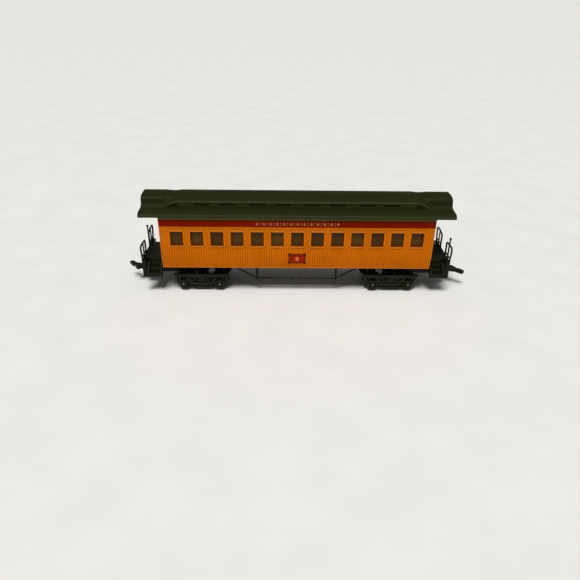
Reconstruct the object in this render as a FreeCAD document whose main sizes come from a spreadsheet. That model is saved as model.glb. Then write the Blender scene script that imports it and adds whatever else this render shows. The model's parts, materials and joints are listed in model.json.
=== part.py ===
"""A 1:87 model of an old-time passenger coach with open end platforms.

The coach stands on its wheel flanges at Z = 0, runs along X and has its near
side at -Y.  End A is the +X end and end B the -X end.  The two ends are the
same pieces turned half a turn about Z.  All lengths are in millimetres.
"""
import FreeCAD, Part
import math
import os
import re
import Sketcher

# Driving dimensions, one spreadsheet row each: alias, millimetres.
DIMENSIONS = {
    # body shell
    "body_length": 150.0,
    "body_half": 16.5,
    "skirt_half": 15.0,
    "skirt_z": 16.0,
    "tuck_top_z": 26.0,
    "tuck_radius": 34.0,
    "wall": 1.2,
    "eave_z": 46.7,
    "belt_bottom_z": 28.4,
    "belt_top_z": 29.6,
    "letterboard_bottom_z": 41.3,
    "letterboard_top_z": 45.0,
    "relief": 0.3,
    # side windows
    "window_count": 13.0,
    "window_pitch": 10.975,
    "window_width": 7.09,
    "window_bottom_z": 30.0,
    "window_top_z": 38.35,
    # end walls
    "door_half": 4.4,
    "door_top_z": 42.0,
    "door_recess": 0.4,
    "door_light_half": 2.7,
    "end_light_inner": 7.2,
    "end_light_outer": 12.4,
    # roof
    "roof_length": 170.4,
    "roof_half": 18.0,
    "roof_edge_z": 48.3,
    "deck_z": 49.9,
    "deck_radius": 60.0,
    "hood_foot_half": 8.6,
    "hood_shoulder_half": 6.6,
    "hood_shoulder_z": 53.6,
    "hood_radius": 15.3,
    "clerestory_half": 9.5,
    "clerestory_wall_half": 8.7,
    "clerestory_edge_z": 53.2,
    "clerestory_lip": 0.9,
    "clerestory_straight": 65.0,
    "clerestory_end": 74.5,
    "clerestory_crown_radius": 24.7,
    "clerestory_arc_radius": 15.6,
    "crown_root": 0.2,
    "deck_rebate": 0.2,
    "hollow_half": 14.8,
    "hollow_end": 72.8,
    "hollow_top_z": 48.1,
    "attic_half": 7.1,
    "attic_end": 63.0,
    "attic_top_z": 52.8,
    "vent_pairs": 4.0,
    "vent_pair_pitch": 29.9,
    "vent_pair_half": 6.85,
    "vent_width": 8.7,
    "vent_bottom_z": 50.6,
    "vent_top_z": 51.9,
    "vent_depth": 0.5,
    # underframe and ends
    "floor_bottom_z": 16.6,
    "floor_top_z": 19.6,
    "floor_half": 13.7,
    "floor_end": 73.8,
    "sill_half": 3.0,
    "sill_bottom_z": 13.2,
    "sill_end": 46.0,
    "needle_beam_width": 2.4,
    "needle_beam_z": 14.9,
    "platform_z": 20.3,
    "platform_thickness": 2.0,
    "platform_half": 10.4,
    "platform_end": 86.6,
    "end_beam_half": 15.2,
    "end_beam_z": 17.2,
    "end_beam_depth": 2.0,
    "tongue_half": 4.0,
    "tongue_bottom_z": 14.4,
    "tongue_inner": 66.0,
    # corner steps
    "step_rise": 2.6,
    "step_going": 1.7,
    "step_bottom_z": 10.1,
    "step_inner": 76.1,
    "step_outer": 82.9,
    "cheek_thickness": 0.8,
    "corner_cheek_outer": 86.5,
    "nosing": 0.3,
    "tread_thickness": 0.5,
    "stair_depth": 1.7,
    "stair_back_z": 16.7,
    "cheek_nose_z": 13.1,
    "cheek_foot": 2.2,
    "cheek_back_z": 16.5,
    "step_lap": 1.0,
    # end railings
    "railing_thickness": 0.8,
    "railing_gap_half": 5.0,
    "railing_bar": 0.7,
    "railing_top_z": 29.4,
    "railing_foot_half": 14.9,
    "railing_bulge_half": 16.7,
    "railing_bulge_z": 27.6,
    "railing_shoulder": 1.8,
    "railing_corner_radius": 1.9,
    "railing_top_radius": 60.0,
    "railing_fall": 0.8,
    "railing_low_z": 21.9,
    "railing_high_z": 27.8,
    "staff_radius": 0.4,
    "staff_side": 8.0,
    "knob_radius": 0.7,
    "knob_z": 31.4,
    "knob_neck": 0.57,
    "staff_foot_z": 17.5,
    # truss rods
    "truss_side": 12.5,
    "truss_rod": 0.9,
    "truss_low_z": 7.9,
    "queen_post_x": 22.5,
    "queen_post_width": 1.5,
    "truss_rise_length": 14.6,
    "truss_foot_length": 1.8,
    "truss_bend": 0.2,
    "post_top_half": 1.1,
    "post_foot_half": 0.7,
    "post_foot_z": 7.3,
    "turnbuckle_half": 2.6,
    "turnbuckle_low_z": 7.5,
    "turnbuckle_high_z": 9.1,
    # trucks
    "truck_x": 54.4,
    "axle_offset": 10.3,
    "axle_z": 5.5,
    "wheel_tread_radius": 4.8,
    "wheel_flange_radius": 5.5,
    "wheel_back_half": 7.2,
    "wheel_front_half": 10.0,
    "wheel_hub_radius": 2.2,
    "wheel_rim_radius": 3.9,
    "wheel_web_recess": 0.95,
    "hub_proud": 0.2,
    "flange_rounding": 0.3,
    "flange_thickness": 0.9,
    "tread_fillet": 0.15,
    "axle_radius": 1.1,
    "journal_radius": 0.55,
    "journal_bore_radius": 0.60,
    "journal_end": 12.5,
    "journal_chamfer": 0.3,
    "journal_clearance": 0.15,
    "frame_inner": 11.2,
    "frame_outer": 13.0,
    "frame_top_z": 10.8,
    "frame_beam_z": 9.0,
    "frame_bottom_z": 1.9,
    "frame_top_half": 15.6,
    "frame_bottom_half": 11.9,
    "beam_flange": 0.4,
    "opening_sill_half": 4.9,
    "opening_sill_z": 4.7,
    "opening_side_half": 6.4,
    "opening_side_z": 7.5,
    "tie_slot_low_half": 6.8,
    "tie_slot_high_half": 7.2,
    "tie_slot_low_z": 2.6,
    "tie_slot_high_z": 3.9,
    "end_slot_inner": 12.6,
    "end_slot_outer": 14.1,
    "end_slot_z": 6.0,
    "journal_box_inner": 11.6,
    "journal_box_outer": 14.3,
    "journal_box_half": 1.9,
    "journal_box_low_z": 2.6,
    "journal_box_high_z": 7.5,
    "pedestal_recess_inner": 12.1,
    "pedestal_recess_half": 1.5,
    "pedestal_recess_low_z": 7.6,
    "pedestal_recess_high_z": 8.9,
    "spring_x": 4.0,
    "spring_radius": 0.75,
    "spring_low_z": 4.0,
    "spring_high_z": 9.5,
    "bolster_half": 2.1,
    "bolster_bottom_z": 6.0,
    "bolster_top_z": 10.4,
    "bolster_tip_half": 2.0,
    "bolster_tip_end": 13.3,
    "bolster_tip_low_z": 6.2,
    "bolster_tip_high_z": 8.8,
    "centre_plate_root_z": 8.4,
    "centre_plate_radius": 4.0,
    "centre_plate_z": 13.6,
    "boss_z": 13.7,
    "kingpin_radius": 1.45,
    "kingpin_hole_radius": 1.50,
    "kingpin_shank_radius": 1.0,
    "kingpin_head_radius": 2.6,
    "kingpin_head_height": 1.2,
    "bearing_gap": 0.1,
    # couplers
    "arm_half": 2.6,
    "arm_bottom_z": 7.0,
    "arm_top_z": 9.0,
    "box_back": 25.5,
    "box_front": 34.5,
    "box_half": 3.8,
    "box_wall": 0.8,
    "box_floor_z": 8.0,
    "box_top_z": 10.1,
    "cover_thickness": 0.8,
    "coupler_pivot": 29.5,
    "coupler_hole_radius": 1.15,
    "coupler_post_radius": 1.1,
    "coupler_play": 0.1,
    # ballast and glazing
    "ballast_half_length": 40.0,
    "ballast_half": 9.0,
    "ballast_thickness": 1.8,
    "glazing_thickness": 0.45,
    "glazing_margin": 0.9,
    # small gaps, and how far a cut runs past the face it opens
    "assembly_gap": 0.2,
    "glazing_gap": 0.3,
    "overrun": 1.0,
}

doc = FreeCAD.newDocument("passenger_coach")
pieces = []


def make_sheet():
    """Put every driving dimension in the spreadsheet under its alias."""
    sheet = doc.addObject("Spreadsheet::Sheet", "dims")
    for row, (alias, millimetres) in enumerate(DIMENSIONS.items(), start=1):
        sheet.set("A%d" % row, alias)
        sheet.set("B%d" % row, str(millimetres))
        sheet.setAlias("B%d" % row, alias)
    doc.recompute()
    return sheet


dims = make_sheet()


def formula(text):
    """Turn words such as body_half / 2 into references to the sheet's cells."""
    return re.sub(r"[a-z][a-z_]*", lambda word: "dims." + word.group(0), str(text))


def number(text):
    """The value of a formula, in millimetres."""
    return float(dims.evalExpression(formula(text)))


def bind(target, field, text):
    """Bind one property of an object to a formula of driving dimensions."""
    target.setExpression(field, formula(text))


# ---------------------------------------------------------------- sketch tools

def pin_point(sketch, edge, point, position):
    """Hold one point of a sketch edge at a pair of formulas."""
    for kind, text in zip(("DistanceX", "DistanceY"), position):
        index = sketch.addConstraint(Sketcher.Constraint(kind, -1, 1, edge, point, number(text)))
        bind(sketch, "Constraints[%d]" % index, text)


def pin_radius(sketch, edge, text):
    """Hold the radius of an arc or circle at a formula."""
    index = sketch.addConstraint(Sketcher.Constraint("Radius", edge, number(text)))
    bind(sketch, "Constraints[%d]" % index, text)


def arc_through(start, end, radius, side):
    """The point halfway along the short arc that bulges to the given side."""
    chord = end - start
    sagitta = radius - math.sqrt(radius ** 2 - (chord.Length / 2) ** 2)
    normal = FreeCAD.Vector(-chord.y, chord.x, 0).normalize()
    return (start + end) / 2 + normal * sagitta * side


def draw_outline(sketch, outline):
    """Draw a closed outline of (x, y) or (x, y, radius, side) corners.

    The last two values make the edge that leaves the corner an arc, which
    bulges to the left of its direction for side 1 and to the right for -1.
    """
    corners = [FreeCAD.Vector(number(c[0]), number(c[1]), 0) for c in outline]
    starts = []
    ends = []
    for index, corner in enumerate(outline):
        start = corners[index]
        end = corners[(index + 1) % len(corners)]
        if len(corner) == 2:
            edge = sketch.addGeometry(Part.LineSegment(start, end), False)
            starts.append((edge, 1))
            ends.append((edge, 2))
            continue
        radius_text, side = corner[2:]
        middle = arc_through(start, end, number(radius_text), side)
        counter_clockwise = side < 0
        first, last = (start, end) if counter_clockwise else (end, start)
        edge = sketch.addGeometry(Part.Arc(first, middle, last), False)
        starts.append((edge, 1 if counter_clockwise else 2))
        ends.append((edge, 2 if counter_clockwise else 1))
    for index, corner in enumerate(outline):
        sketch.addConstraint(Sketcher.Constraint("Coincident", *ends[index - 1], *starts[index]))
        pin_point(sketch, *starts[index], corner[:2])
    for index, corner in enumerate(outline):
        if len(corner) > 2:
            pin_radius(sketch, starts[index][0], corner[2])


def draw_circle(sketch, x, y, radius):
    """Draw a circle whose centre and radius are formulas."""
    centre = FreeCAD.Vector(number(x), number(y), 0)
    circle = Part.Circle(centre, FreeCAD.Vector(0, 0, 1), number(radius))
    edge = sketch.addGeometry(circle, False)
    pin_point(sketch, edge, 3, (x, y))
    pin_radius(sketch, edge, radius)


def add_sketch(body, plane, shapes, offset):
    """A sketch on one of the body's origin planes, moved along its normal."""
    sketch = body.newObject("Sketcher::SketchObject", body.Name + "_sketch")
    role = plane + "_Plane"
    support = next(f for f in body.Origin.OriginFeatures if f.Role == role)
    sketch.AttachmentSupport = (support, [""])
    sketch.MapMode = "FlatFace"
    bind(sketch, "AttachmentOffset.Base.z", offset)
    for shape in shapes:
        if isinstance(shape, tuple):
            draw_circle(sketch, *shape)
        else:
            draw_outline(sketch, shape)
    return sketch


def extrude(body, kind, plane, shapes, low, high):
    """A pad or pocket of the shapes between two places along the plane's axis."""
    direction = "-1" if plane == "XZ" else "1"
    middle = "%s * ((%s) + (%s)) / 2" % (direction, low, high)
    sketch = add_sketch(body, plane, shapes, middle)
    feature = body.newObject("PartDesign::" + kind, body.Name + "_" + kind.lower())
    feature.Profile = sketch
    feature.Midplane = True
    bind(feature, "Length", "(%s) - (%s)" % (high, low))
    return feature


def pad(body, plane, shapes, low, high):
    """Add the shapes' solid between two places along the plane's axis."""
    return extrude(body, "Pad", plane, shapes, low, high)


def pocket(body, plane, shapes, low, high):
    """Cut the shapes out between two places along the plane's axis."""
    return extrude(body, "Pocket", plane, shapes, low, high)


def revolve(body, plane, outline):
    """Turn an outline about the sketch's upright axis."""
    sketch = add_sketch(body, plane, [outline], "0")
    feature = body.newObject("PartDesign::Revolution", body.Name + "_revolution")
    feature.Profile = sketch
    feature.ReferenceAxis = (sketch, ["V_Axis"])
    feature.Angle = 360


def repeat_along(body, feature, count, spacing):
    """Repeat a feature in a row along its sketch's level axis."""
    pattern = body.newObject("PartDesign::LinearPattern", body.Name + "_pattern")
    pattern.Originals = [feature]
    pattern.Direction = (feature.Profile[0], ["H_Axis"])
    bind(pattern, "Length", "((%s) - 1) * (%s)" % (count, spacing))
    bind(pattern, "Occurrences", count)
    body.Tip = pattern


def rectangle(x_low, x_high, y_low, y_high):
    """The four corners of an upright rectangle."""
    return [(x_low, y_low), (x_high, y_low), (x_high, y_high), (x_low, y_high)]


def mirrored(half):
    """Close a right-hand half outline with its mirror image on the left."""
    left = []
    for index in range(len(half) - 1, -1, -1):
        corner = half[index]
        mirrored_corner = ("-(%s)" % corner[0], corner[1])
        before = half[index - 1] if index else ()
        if len(before) > 2:
            mirrored_corner += before[2:]
        left.append(mirrored_corner)
    return list(half) + left


def new_piece(name, placement=FreeCAD.Placement()):
    """An empty body for one piece of the coach, at its place."""
    body = doc.addObject("PartDesign::Body", name)
    body.Label = name
    body.Placement = placement
    pieces.append(body)
    return body


# ---------------------------------------------------------------- places

HALF_TURN = FreeCAD.Rotation(FreeCAD.Vector(0, 0, 1), 180)
END_PLACES = {
    "a": FreeCAD.Placement(),
    "b": FreeCAD.Placement(FreeCAD.Vector(), HALF_TURN),
}


def truck_place(end):
    """Truck pieces are drawn about their own centre, with the car's end at +X."""
    centre = FreeCAD.Placement(FreeCAD.Vector(number("truck_x"), 0, 0), FreeCAD.Rotation())
    return END_PLACES[end].multiply(centre)


def side_sign(side, end="a"):
    """The Y sign of a side in an end's own frame; left is +Y on the coach."""
    return "1" if (side == "left") == (end == "a") else "-1"


def to_side(sign, outline):
    """Mirror an outline's first coordinate for the right-hand side."""
    moved = []
    for corner in outline:
        place = ("%s * (%s)" % (sign, corner[0]), corner[1])
        bulge = () if len(corner) == 2 else (corner[2], corner[3] * int(sign))
        moved.append(place + bulge)
    return moved


def side_span(sign, inner, outer):
    """The low and high Y of a slab between two distances from the middle."""
    return (inner, outer) if sign == "1" else ("-(%s)" % outer, "-(%s)" % inner)


# ---------------------------------------------------------------- body shell

def tumblehome(inset):
    """Half of the shell's section: upright above, tucked in below the belt."""
    return [
        ("skirt_half - (%s)" % inset, "skirt_z", "tuck_radius - (%s)" % inset, -1),
        ("body_half - (%s)" % inset, "tuck_top_z"),
        ("body_half - (%s)" % inset, "eave_z"),
    ]


def make_body_shell():
    """The hollow body: sides with relief bands and windows, and two end walls."""
    body = new_piece("body_shell")
    half_length = "body_length / 2"
    pad(body, "YZ", [mirrored(tumblehome("0"))], "-" + half_length, half_length)
    relief_bands = []
    for bottom, top in (("belt_bottom_z", "belt_top_z"), ("letterboard_bottom_z", "letterboard_top_z")):
        band = rectangle("-body_half - relief", "body_half + relief", bottom, top)
        relief_bands.append(band)
    pad(body, "YZ", relief_bands, "-" + half_length, half_length)
    inner_end = "body_length / 2 - wall"
    pocket(body, "YZ", [mirrored(tumblehome("wall"))], "-(%s)" % inner_end, inner_end)
    first = "-(window_count - 1) / 2 * window_pitch"
    opening = rectangle(
        first + " - window_width / 2", first + " + window_width / 2", "window_bottom_z", "window_top_z")
    reach = "body_half + overrun"
    window = pocket(body, "XZ", [opening], "-(%s)" % reach, reach)
    repeat_along(body, window, "window_count", "window_pitch")
    cut_end_walls(body)


def cut_end_walls(body):
    """Recess the doors, and open the door and end windows."""
    door = rectangle("-door_half", "door_half", "platform_z", "door_top_z")
    recess_start = "body_length / 2 - door_recess"
    for sign in ("1", "-1"):
        low, high = side_span(sign, recess_start, "body_length / 2 + overrun")
        pocket(body, "YZ", [door], low, high)
    lights = [
        rectangle("-door_light_half", "door_light_half", "window_bottom_z", "window_top_z"),
        rectangle("end_light_inner", "end_light_outer", "window_bottom_z", "window_top_z"),
        rectangle("-end_light_outer", "-end_light_inner", "window_bottom_z", "window_top_z"),
    ]
    reach = "body_length / 2 + overrun"
    pocket(body, "YZ", lights, "-(%s)" % reach, reach)


def make_glazing():
    """Clear strips behind the side windows and the end windows."""
    low_z = "window_bottom_z - glazing_margin"
    high_z = "window_top_z + glazing_margin"
    strip_end = "body_length / 2 - wall - glazing_thickness - glazing_gap"
    for side in ("left", "right"):
        body = new_piece("side_glazing_" + side)
        inner = "body_half - wall - glazing_thickness"
        low, high = side_span(side_sign(side), inner, "body_half - wall")
        pad(body, "XZ", [rectangle("-(%s)" % strip_end, strip_end, low_z, high_z)], low, high)
    for end, place in END_PLACES.items():
        body = new_piece("end_glazing_" + end, place)
        reach = "end_light_outer + glazing_margin"
        inner = "body_length / 2 - wall - glazing_thickness"
        pad(body, "YZ", [rectangle("-(%s)" % reach, reach, low_z, high_z)], inner, "body_length / 2 - wall")


# ---------------------------------------------------------------- roof

def hood_section():
    """Half of the roof's ogee section: lower deck, steep flank, rounded ridge."""
    return [
        ("roof_half", "eave_z"),
        ("roof_half", "roof_edge_z", "deck_radius", -1),
        ("hood_foot_half", "deck_z"),
        ("hood_shoulder_half", "hood_shoulder_z", "hood_radius", -1),
    ]


def closed_hood_section():
    """The whole ogee section, with one arc over the ridge."""
    right = hood_section()
    left = []
    left.append(("-hood_shoulder_half", "hood_shoulder_z"))
    left.append(("-hood_foot_half", "deck_z", "deck_radius", -1))
    left.append(("-roof_half", "roof_edge_z"))
    left.append(("-roof_half", "eave_z"))
    return right + left


def clerestory_outline(drop):
    """The clerestory seen from the side; its ends fall in arcs to the deck."""
    radius = "clerestory_arc_radius"
    top = "clerestory_edge_z - (%s)" % drop
    return [
        ("-(clerestory_end - (%s))" % drop, "deck_z - overrun"),
        ("clerestory_end - (%s)" % drop, "deck_z - overrun", radius, -1),
        ("clerestory_straight", top),
        ("-clerestory_straight", top, radius, -1),
    ]


def make_roof():
    """The roof: an ogee section end to end, with the clerestory over its middle."""
    body = new_piece("roof")
    half_length = "roof_length / 2"
    pad(body, "YZ", [closed_hood_section()], "-" + half_length, half_length)
    pad(body, "XZ", [clerestory_outline("0")], "-clerestory_half", "clerestory_half")
    for sign in ("1", "-1"):
        low, high = side_span(sign, "clerestory_wall_half", "clerestory_half + overrun")
        recess = clerestory_outline("clerestory_lip")
        recess[0] = (recess[0][0], "deck_z + deck_rebate")
        recess[1] = (recess[1][0], "deck_z + deck_rebate") + recess[1][2:]
        pocket(body, "XZ", [recess], low, high)
    crown = [
        ("clerestory_half", "clerestory_edge_z - crown_root"),
        ("clerestory_half", "clerestory_edge_z", "clerestory_crown_radius", -1),
        ("-clerestory_half", "clerestory_edge_z"),
        ("-clerestory_half", "clerestory_edge_z - crown_root"),
    ]
    pad(body, "YZ", [crown], "-clerestory_straight", "clerestory_straight")
    cut_vents(body)
    hollow_roof(body)


def cut_vents(body):
    """Shallow window recesses in the clerestory's side walls, set in pairs."""
    first_pair = "-(vent_pairs - 1) / 2 * vent_pair_pitch"
    vents = []
    for sign in ("-", "+"):
        middle = "%s %s vent_pair_half" % (first_pair, sign)
        vents.append(rectangle(
            middle + " - vent_width / 2", middle + " + vent_width / 2", "vent_bottom_z", "vent_top_z"))
    for sign in ("1", "-1"):
        low, high = side_span(sign, "clerestory_wall_half - vent_depth", "clerestory_half + overrun")
        recess = pocket(body, "XZ", vents, low, high)
        repeat_along(body, recess, "vent_pairs", "vent_pair_pitch")


def hollow_roof(body):
    """Take the inside out of the moulding over the body."""
    deck = rectangle("-hollow_half", "hollow_half", "eave_z - overrun", "hollow_top_z")
    pocket(body, "YZ", [deck], "-hollow_end", "hollow_end")
    attic = rectangle("-attic_half", "attic_half", "hollow_top_z - overrun", "attic_top_z")
    pocket(body, "YZ", [attic], "-attic_end", "attic_end")


# ---------------------------------------------------------------- underframe

def make_underframe():
    """The floor with its centre sill, needle beams and kingpin bosses."""
    body = new_piece("underframe")
    floor = rectangle("-floor_end", "floor_end", "-floor_half", "floor_half")
    pad(body, "XY", [floor], "floor_bottom_z", "floor_top_z")
    sill = rectangle("-sill_end", "sill_end", "-sill_half", "sill_half")
    pad(body, "XY", [sill], "sill_bottom_z", "floor_bottom_z")
    beam_inner = "queen_post_x - needle_beam_width / 2"
    beam_outer = "queen_post_x + needle_beam_width / 2"
    for sign in ("1", "-1"):
        low, high = side_span(sign, beam_inner, beam_outer)
        for beam_sign in ("1", "-1"):
            near, far = side_span(beam_sign, "sill_half", "floor_half")
            pad(body, "XY", [rectangle(low, high, near, far)], "needle_beam_z", "floor_bottom_z")
        centre = sign + " * truck_x"
        pad(body, "XY", [(centre, "0", "centre_plate_radius")], "boss_z", "floor_bottom_z")
        bore = (centre, "0", "kingpin_shank_radius")
        pocket(body, "XY", [bore], "boss_z - overrun", "floor_top_z + overrun")


def make_ballast():
    """The steel plate that lies on the floor."""
    body = new_piece("ballast_weight")
    plate = rectangle("-ballast_half_length", "ballast_half_length", "-ballast_half", "ballast_half")
    pad(body, "XY", [plate], "floor_top_z", "floor_top_z + ballast_thickness")


def make_kingpin(end):
    """The headed pin that a truck hangs on and turns about."""
    body = new_piece("kingpin_" + end, truck_place(end))
    head_top = "bolster_bottom_z - bearing_gap"
    revolve(body, "XZ", [
        ("0", head_top + " - kingpin_head_height"),
        ("kingpin_head_radius", head_top + " - kingpin_head_height"),
        ("kingpin_head_radius", head_top),
        ("kingpin_radius", head_top),
        ("kingpin_radius", "boss_z"),
        ("kingpin_shank_radius", "boss_z"),
        ("kingpin_shank_radius", "floor_top_z"),
        ("0", "floor_top_z"),
    ])


def make_platform(end):
    """An end platform with its end beam and the tongue that reaches under the floor."""
    body = new_piece("platform_" + end, END_PLACES[end])
    under = "platform_z - platform_thickness"
    deck = rectangle("body_length / 2", "platform_end", "-platform_half", "platform_half")
    pad(body, "XY", [deck], under, "platform_z")
    beam = rectangle("platform_end - end_beam_depth", "platform_end", "-end_beam_half", "end_beam_half")
    pad(body, "XY", [beam], "end_beam_z", "platform_z")
    draft = rectangle("body_length / 2 + assembly_gap", "platform_end", "-tongue_half", "tongue_half")
    pad(body, "XY", [draft], "tongue_bottom_z", under)
    tongue = rectangle("tongue_inner", "platform_end", "-tongue_half", "tongue_half")
    pad(body, "XY", [tongue], "tongue_bottom_z", "skirt_z")


# ---------------------------------------------------------------- steps and railings

TREADS = (1, 2, 3)
STAIR_BACK = "platform_half - step_lap"
STAIR_FOOT = "platform_half + %d * step_going" % TREADS[-1]
PLATFORM_UNDER = "platform_z - platform_thickness"


def stair_outline():
    """The flight's section: three treads with nosings, and a sloping back."""
    corners = [(STAIR_BACK, PLATFORM_UNDER)]
    for tread in TREADS:
        height = "platform_z - %d * step_rise" % tread
        riser = "platform_half + %d * step_going" % (tread - 1)
        edge = "platform_half + %d * step_going" % tread
        if tread == TREADS[0]:
            corners.append((riser, PLATFORM_UNDER))
            corners.append((riser, height))
        else:
            corners.append((riser + " - nosing", height))
        corners.append((edge, height))
        corners.append((edge, height + " - tread_thickness"))
        corners.append((edge + " - nosing", height + " - tread_thickness"))
    corners.append((STAIR_FOOT + " - nosing", "step_bottom_z"))
    corners.append((STAIR_FOOT + " - stair_depth", "step_bottom_z"))
    corners.append((STAIR_BACK, "stair_back_z"))
    return corners


def cheek_outline():
    """A side plate of the flight, just outside the treads."""
    return [
        (STAIR_BACK, PLATFORM_UNDER),
        ("platform_half + step_going", PLATFORM_UNDER),
        (STAIR_FOOT, "cheek_nose_z"),
        (STAIR_FOOT, "step_bottom_z"),
        (STAIR_FOOT + " - cheek_foot", "step_bottom_z"),
        (STAIR_BACK, "cheek_back_z"),
    ]


def make_steps(end, side):
    """A corner's flight of steps between two cheeks, and the post under the end beam."""
    body = new_piece("steps_%s_%s" % (end, side), END_PLACES[end])
    sign = side_sign(side, end)
    flight = to_side(sign, stair_outline())
    cheek = to_side(sign, cheek_outline())
    beam_face = "platform_end - end_beam_depth - assembly_gap"
    pad(body, "YZ", [flight], "step_inner + cheek_thickness", "step_outer")
    pad(body, "YZ", [cheek], "step_inner", "step_inner + cheek_thickness")
    pad(body, "YZ", [cheek], "step_outer", beam_face)
    post = rectangle(STAIR_FOOT + " - cheek_foot", STAIR_FOOT, "step_bottom_z", "end_beam_z")
    pad(body, "YZ", [to_side(sign, post)], beam_face, "corner_cheek_outer")


def railing_post_at(level, inset):
    """How far out the leaning outer post is at a height, less an inset."""
    lean = "(railing_bulge_half - railing_foot_half) / (railing_bulge_z - platform_z)"
    return "railing_foot_half + %s * (%s - platform_z) - (%s)" % (lean, level, inset)


def railing_outline():
    """Half of the end railing: upright inside, leaning and rounded outside."""
    return [
        ("railing_gap_half", "platform_z"),
        ("railing_foot_half", "platform_z"),
        ("railing_bulge_half", "railing_bulge_z", "railing_corner_radius", -1),
        ("railing_bulge_half - railing_shoulder", "railing_top_z", "railing_top_radius", -1),
        ("railing_gap_half", "railing_top_z - railing_fall"),
    ]


GAP_COUNT = 3


def railing_openings():
    """The gaps between the posts, from the low bar to the top bar."""
    low = "railing_low_z"
    high = "railing_high_z"
    span = "(railing_foot_half - railing_gap_half - 2 * railing_bar) / %d" % GAP_COUNT
    openings = []
    for index in range(GAP_COUNT - 1):
        left = "railing_gap_half + railing_bar + %d * %s" % (index, span)
        right = "railing_gap_half + %d * %s" % (index + 1, span)
        openings.append(rectangle(left, right, low, high))
    left = "railing_gap_half + railing_bar + %d * %s" % (GAP_COUNT - 1, span)
    openings.append([
        (left, low),
        (railing_post_at(low, "railing_bar"), low),
        (railing_post_at("railing_bulge_z", "railing_bar"), "railing_bulge_z"),
        ("railing_bulge_half - railing_shoulder", high),
        (left, high),
    ])
    return openings


def make_railing(end, side):
    """Half of an end railing, on one side of the gap in its middle."""
    body = new_piece("railing_%s_%s" % (end, side), END_PLACES[end])
    sign = side_sign(side, end)
    shapes = [to_side(sign, railing_outline())]
    shapes += [to_side(sign, opening) for opening in railing_openings()]
    pad(body, "YZ", shapes, "platform_end - railing_thickness", "platform_end")


def make_brake_staff(end):
    """The upright hand-brake staff outside the railing, with its round knob."""
    centre = FreeCAD.Vector(number("platform_end + staff_radius"), -number("staff_side"), 0)
    place = FreeCAD.Placement(centre, FreeCAD.Rotation())
    body = new_piece("brake_staff_" + end, END_PLACES[end].multiply(place))
    revolve(body, "XZ", [
        ("0", "staff_foot_z"),
        ("staff_radius", "staff_foot_z"),
        ("staff_radius", "knob_z - knob_neck", "knob_radius", -1),
        ("knob_radius", "knob_z", "knob_radius", -1),
        ("0", "knob_z + knob_radius"),
    ])


# ---------------------------------------------------------------- truss rods

def make_truss(side):
    """Truss rod, queen posts and turnbuckle of one side, moulded as one piece."""
    body = new_piece("truss_rod_" + side)
    sign = side_sign(side)
    high = "floor_bottom_z"
    foot = "queen_post_x + truss_rise_length"
    level = "truss_low_z + truss_rod"
    rod = [
        ("-(%s)" % foot, high),
        ("-queen_post_x", "truss_low_z"),
        ("queen_post_x", "truss_low_z"),
        (foot, high),
        (foot + " - truss_foot_length", high),
        ("queen_post_x - truss_bend", level),
        ("-(queen_post_x - truss_bend)", level),
        ("-(%s - truss_foot_length)" % foot, high),
    ]
    low, far = side_span(sign, "truss_side - truss_rod / 2", "truss_side + truss_rod / 2")
    pad(body, "XZ", [rod], low, far)
    low, far = side_span(sign, "truss_side - queen_post_width / 2", "truss_side + queen_post_width / 2")
    for post_sign in ("1", "-1"):
        centre = post_sign + " * queen_post_x"
        post = [
            (centre + " - post_top_half", "needle_beam_z"),
            (centre + " - post_foot_half", "post_foot_z"),
            (centre + " + post_foot_half", "post_foot_z"),
            (centre + " + post_top_half", "needle_beam_z"),
        ]
        pad(body, "XZ", [post], low, far)
    turnbuckle = rectangle("-turnbuckle_half", "turnbuckle_half", "turnbuckle_low_z", "turnbuckle_high_z")
    pad(body, "XZ", [turnbuckle], low, far)


# ---------------------------------------------------------------- trucks

def make_bolster(end):
    """Bolster with its centre plate, coupler arm and coupler box."""
    body = new_piece("truck_%s_bolster" % end, truck_place(end))
    beam = rectangle("-bolster_half", "bolster_half", "-frame_inner", "frame_inner")
    pad(body, "XY", [beam], "bolster_bottom_z", "bolster_top_z")
    tips = rectangle("-bolster_tip_half", "bolster_tip_half", "-bolster_tip_end", "bolster_tip_end")
    pad(body, "XY", [tips], "bolster_tip_low_z", "bolster_tip_high_z")
    pad(body, "XY", [("0", "0", "centre_plate_radius")], "centre_plate_root_z", "centre_plate_z")
    arm = rectangle("0", "box_front", "-arm_half", "arm_half")
    pad(body, "XY", [arm], "arm_bottom_z", "box_floor_z")
    rib = rectangle("0", "box_back + box_wall", "-arm_half", "arm_half")
    pad(body, "XY", [rib], "arm_bottom_z", "arm_top_z")
    box = rectangle("box_back", "box_front", "-box_half", "box_half")
    pad(body, "XY", [box], "arm_bottom_z", "box_top_z")
    inner = "box_half - box_wall"
    hollow = rectangle("box_back + box_wall", "box_front + overrun", "-(%s)" % inner, inner)
    pocket(body, "XY", [hollow], "box_floor_z", "box_top_z + overrun")
    post = ("coupler_pivot", "0", "coupler_post_radius")
    pad(body, "XY", [post], "arm_bottom_z", "box_top_z")
    bore = ("0", "0", "kingpin_hole_radius")
    pocket(body, "XY", [bore], "bolster_bottom_z - overrun", "centre_plate_z + overrun")


def frame_outline():
    """A side frame: a deep top beam over a narrowing lower part."""
    return mirrored([
        ("frame_bottom_half", "frame_bottom_z"),
        ("frame_top_half", "frame_beam_z + beam_flange"),
        ("frame_top_half", "frame_top_z"),
    ])


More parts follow.
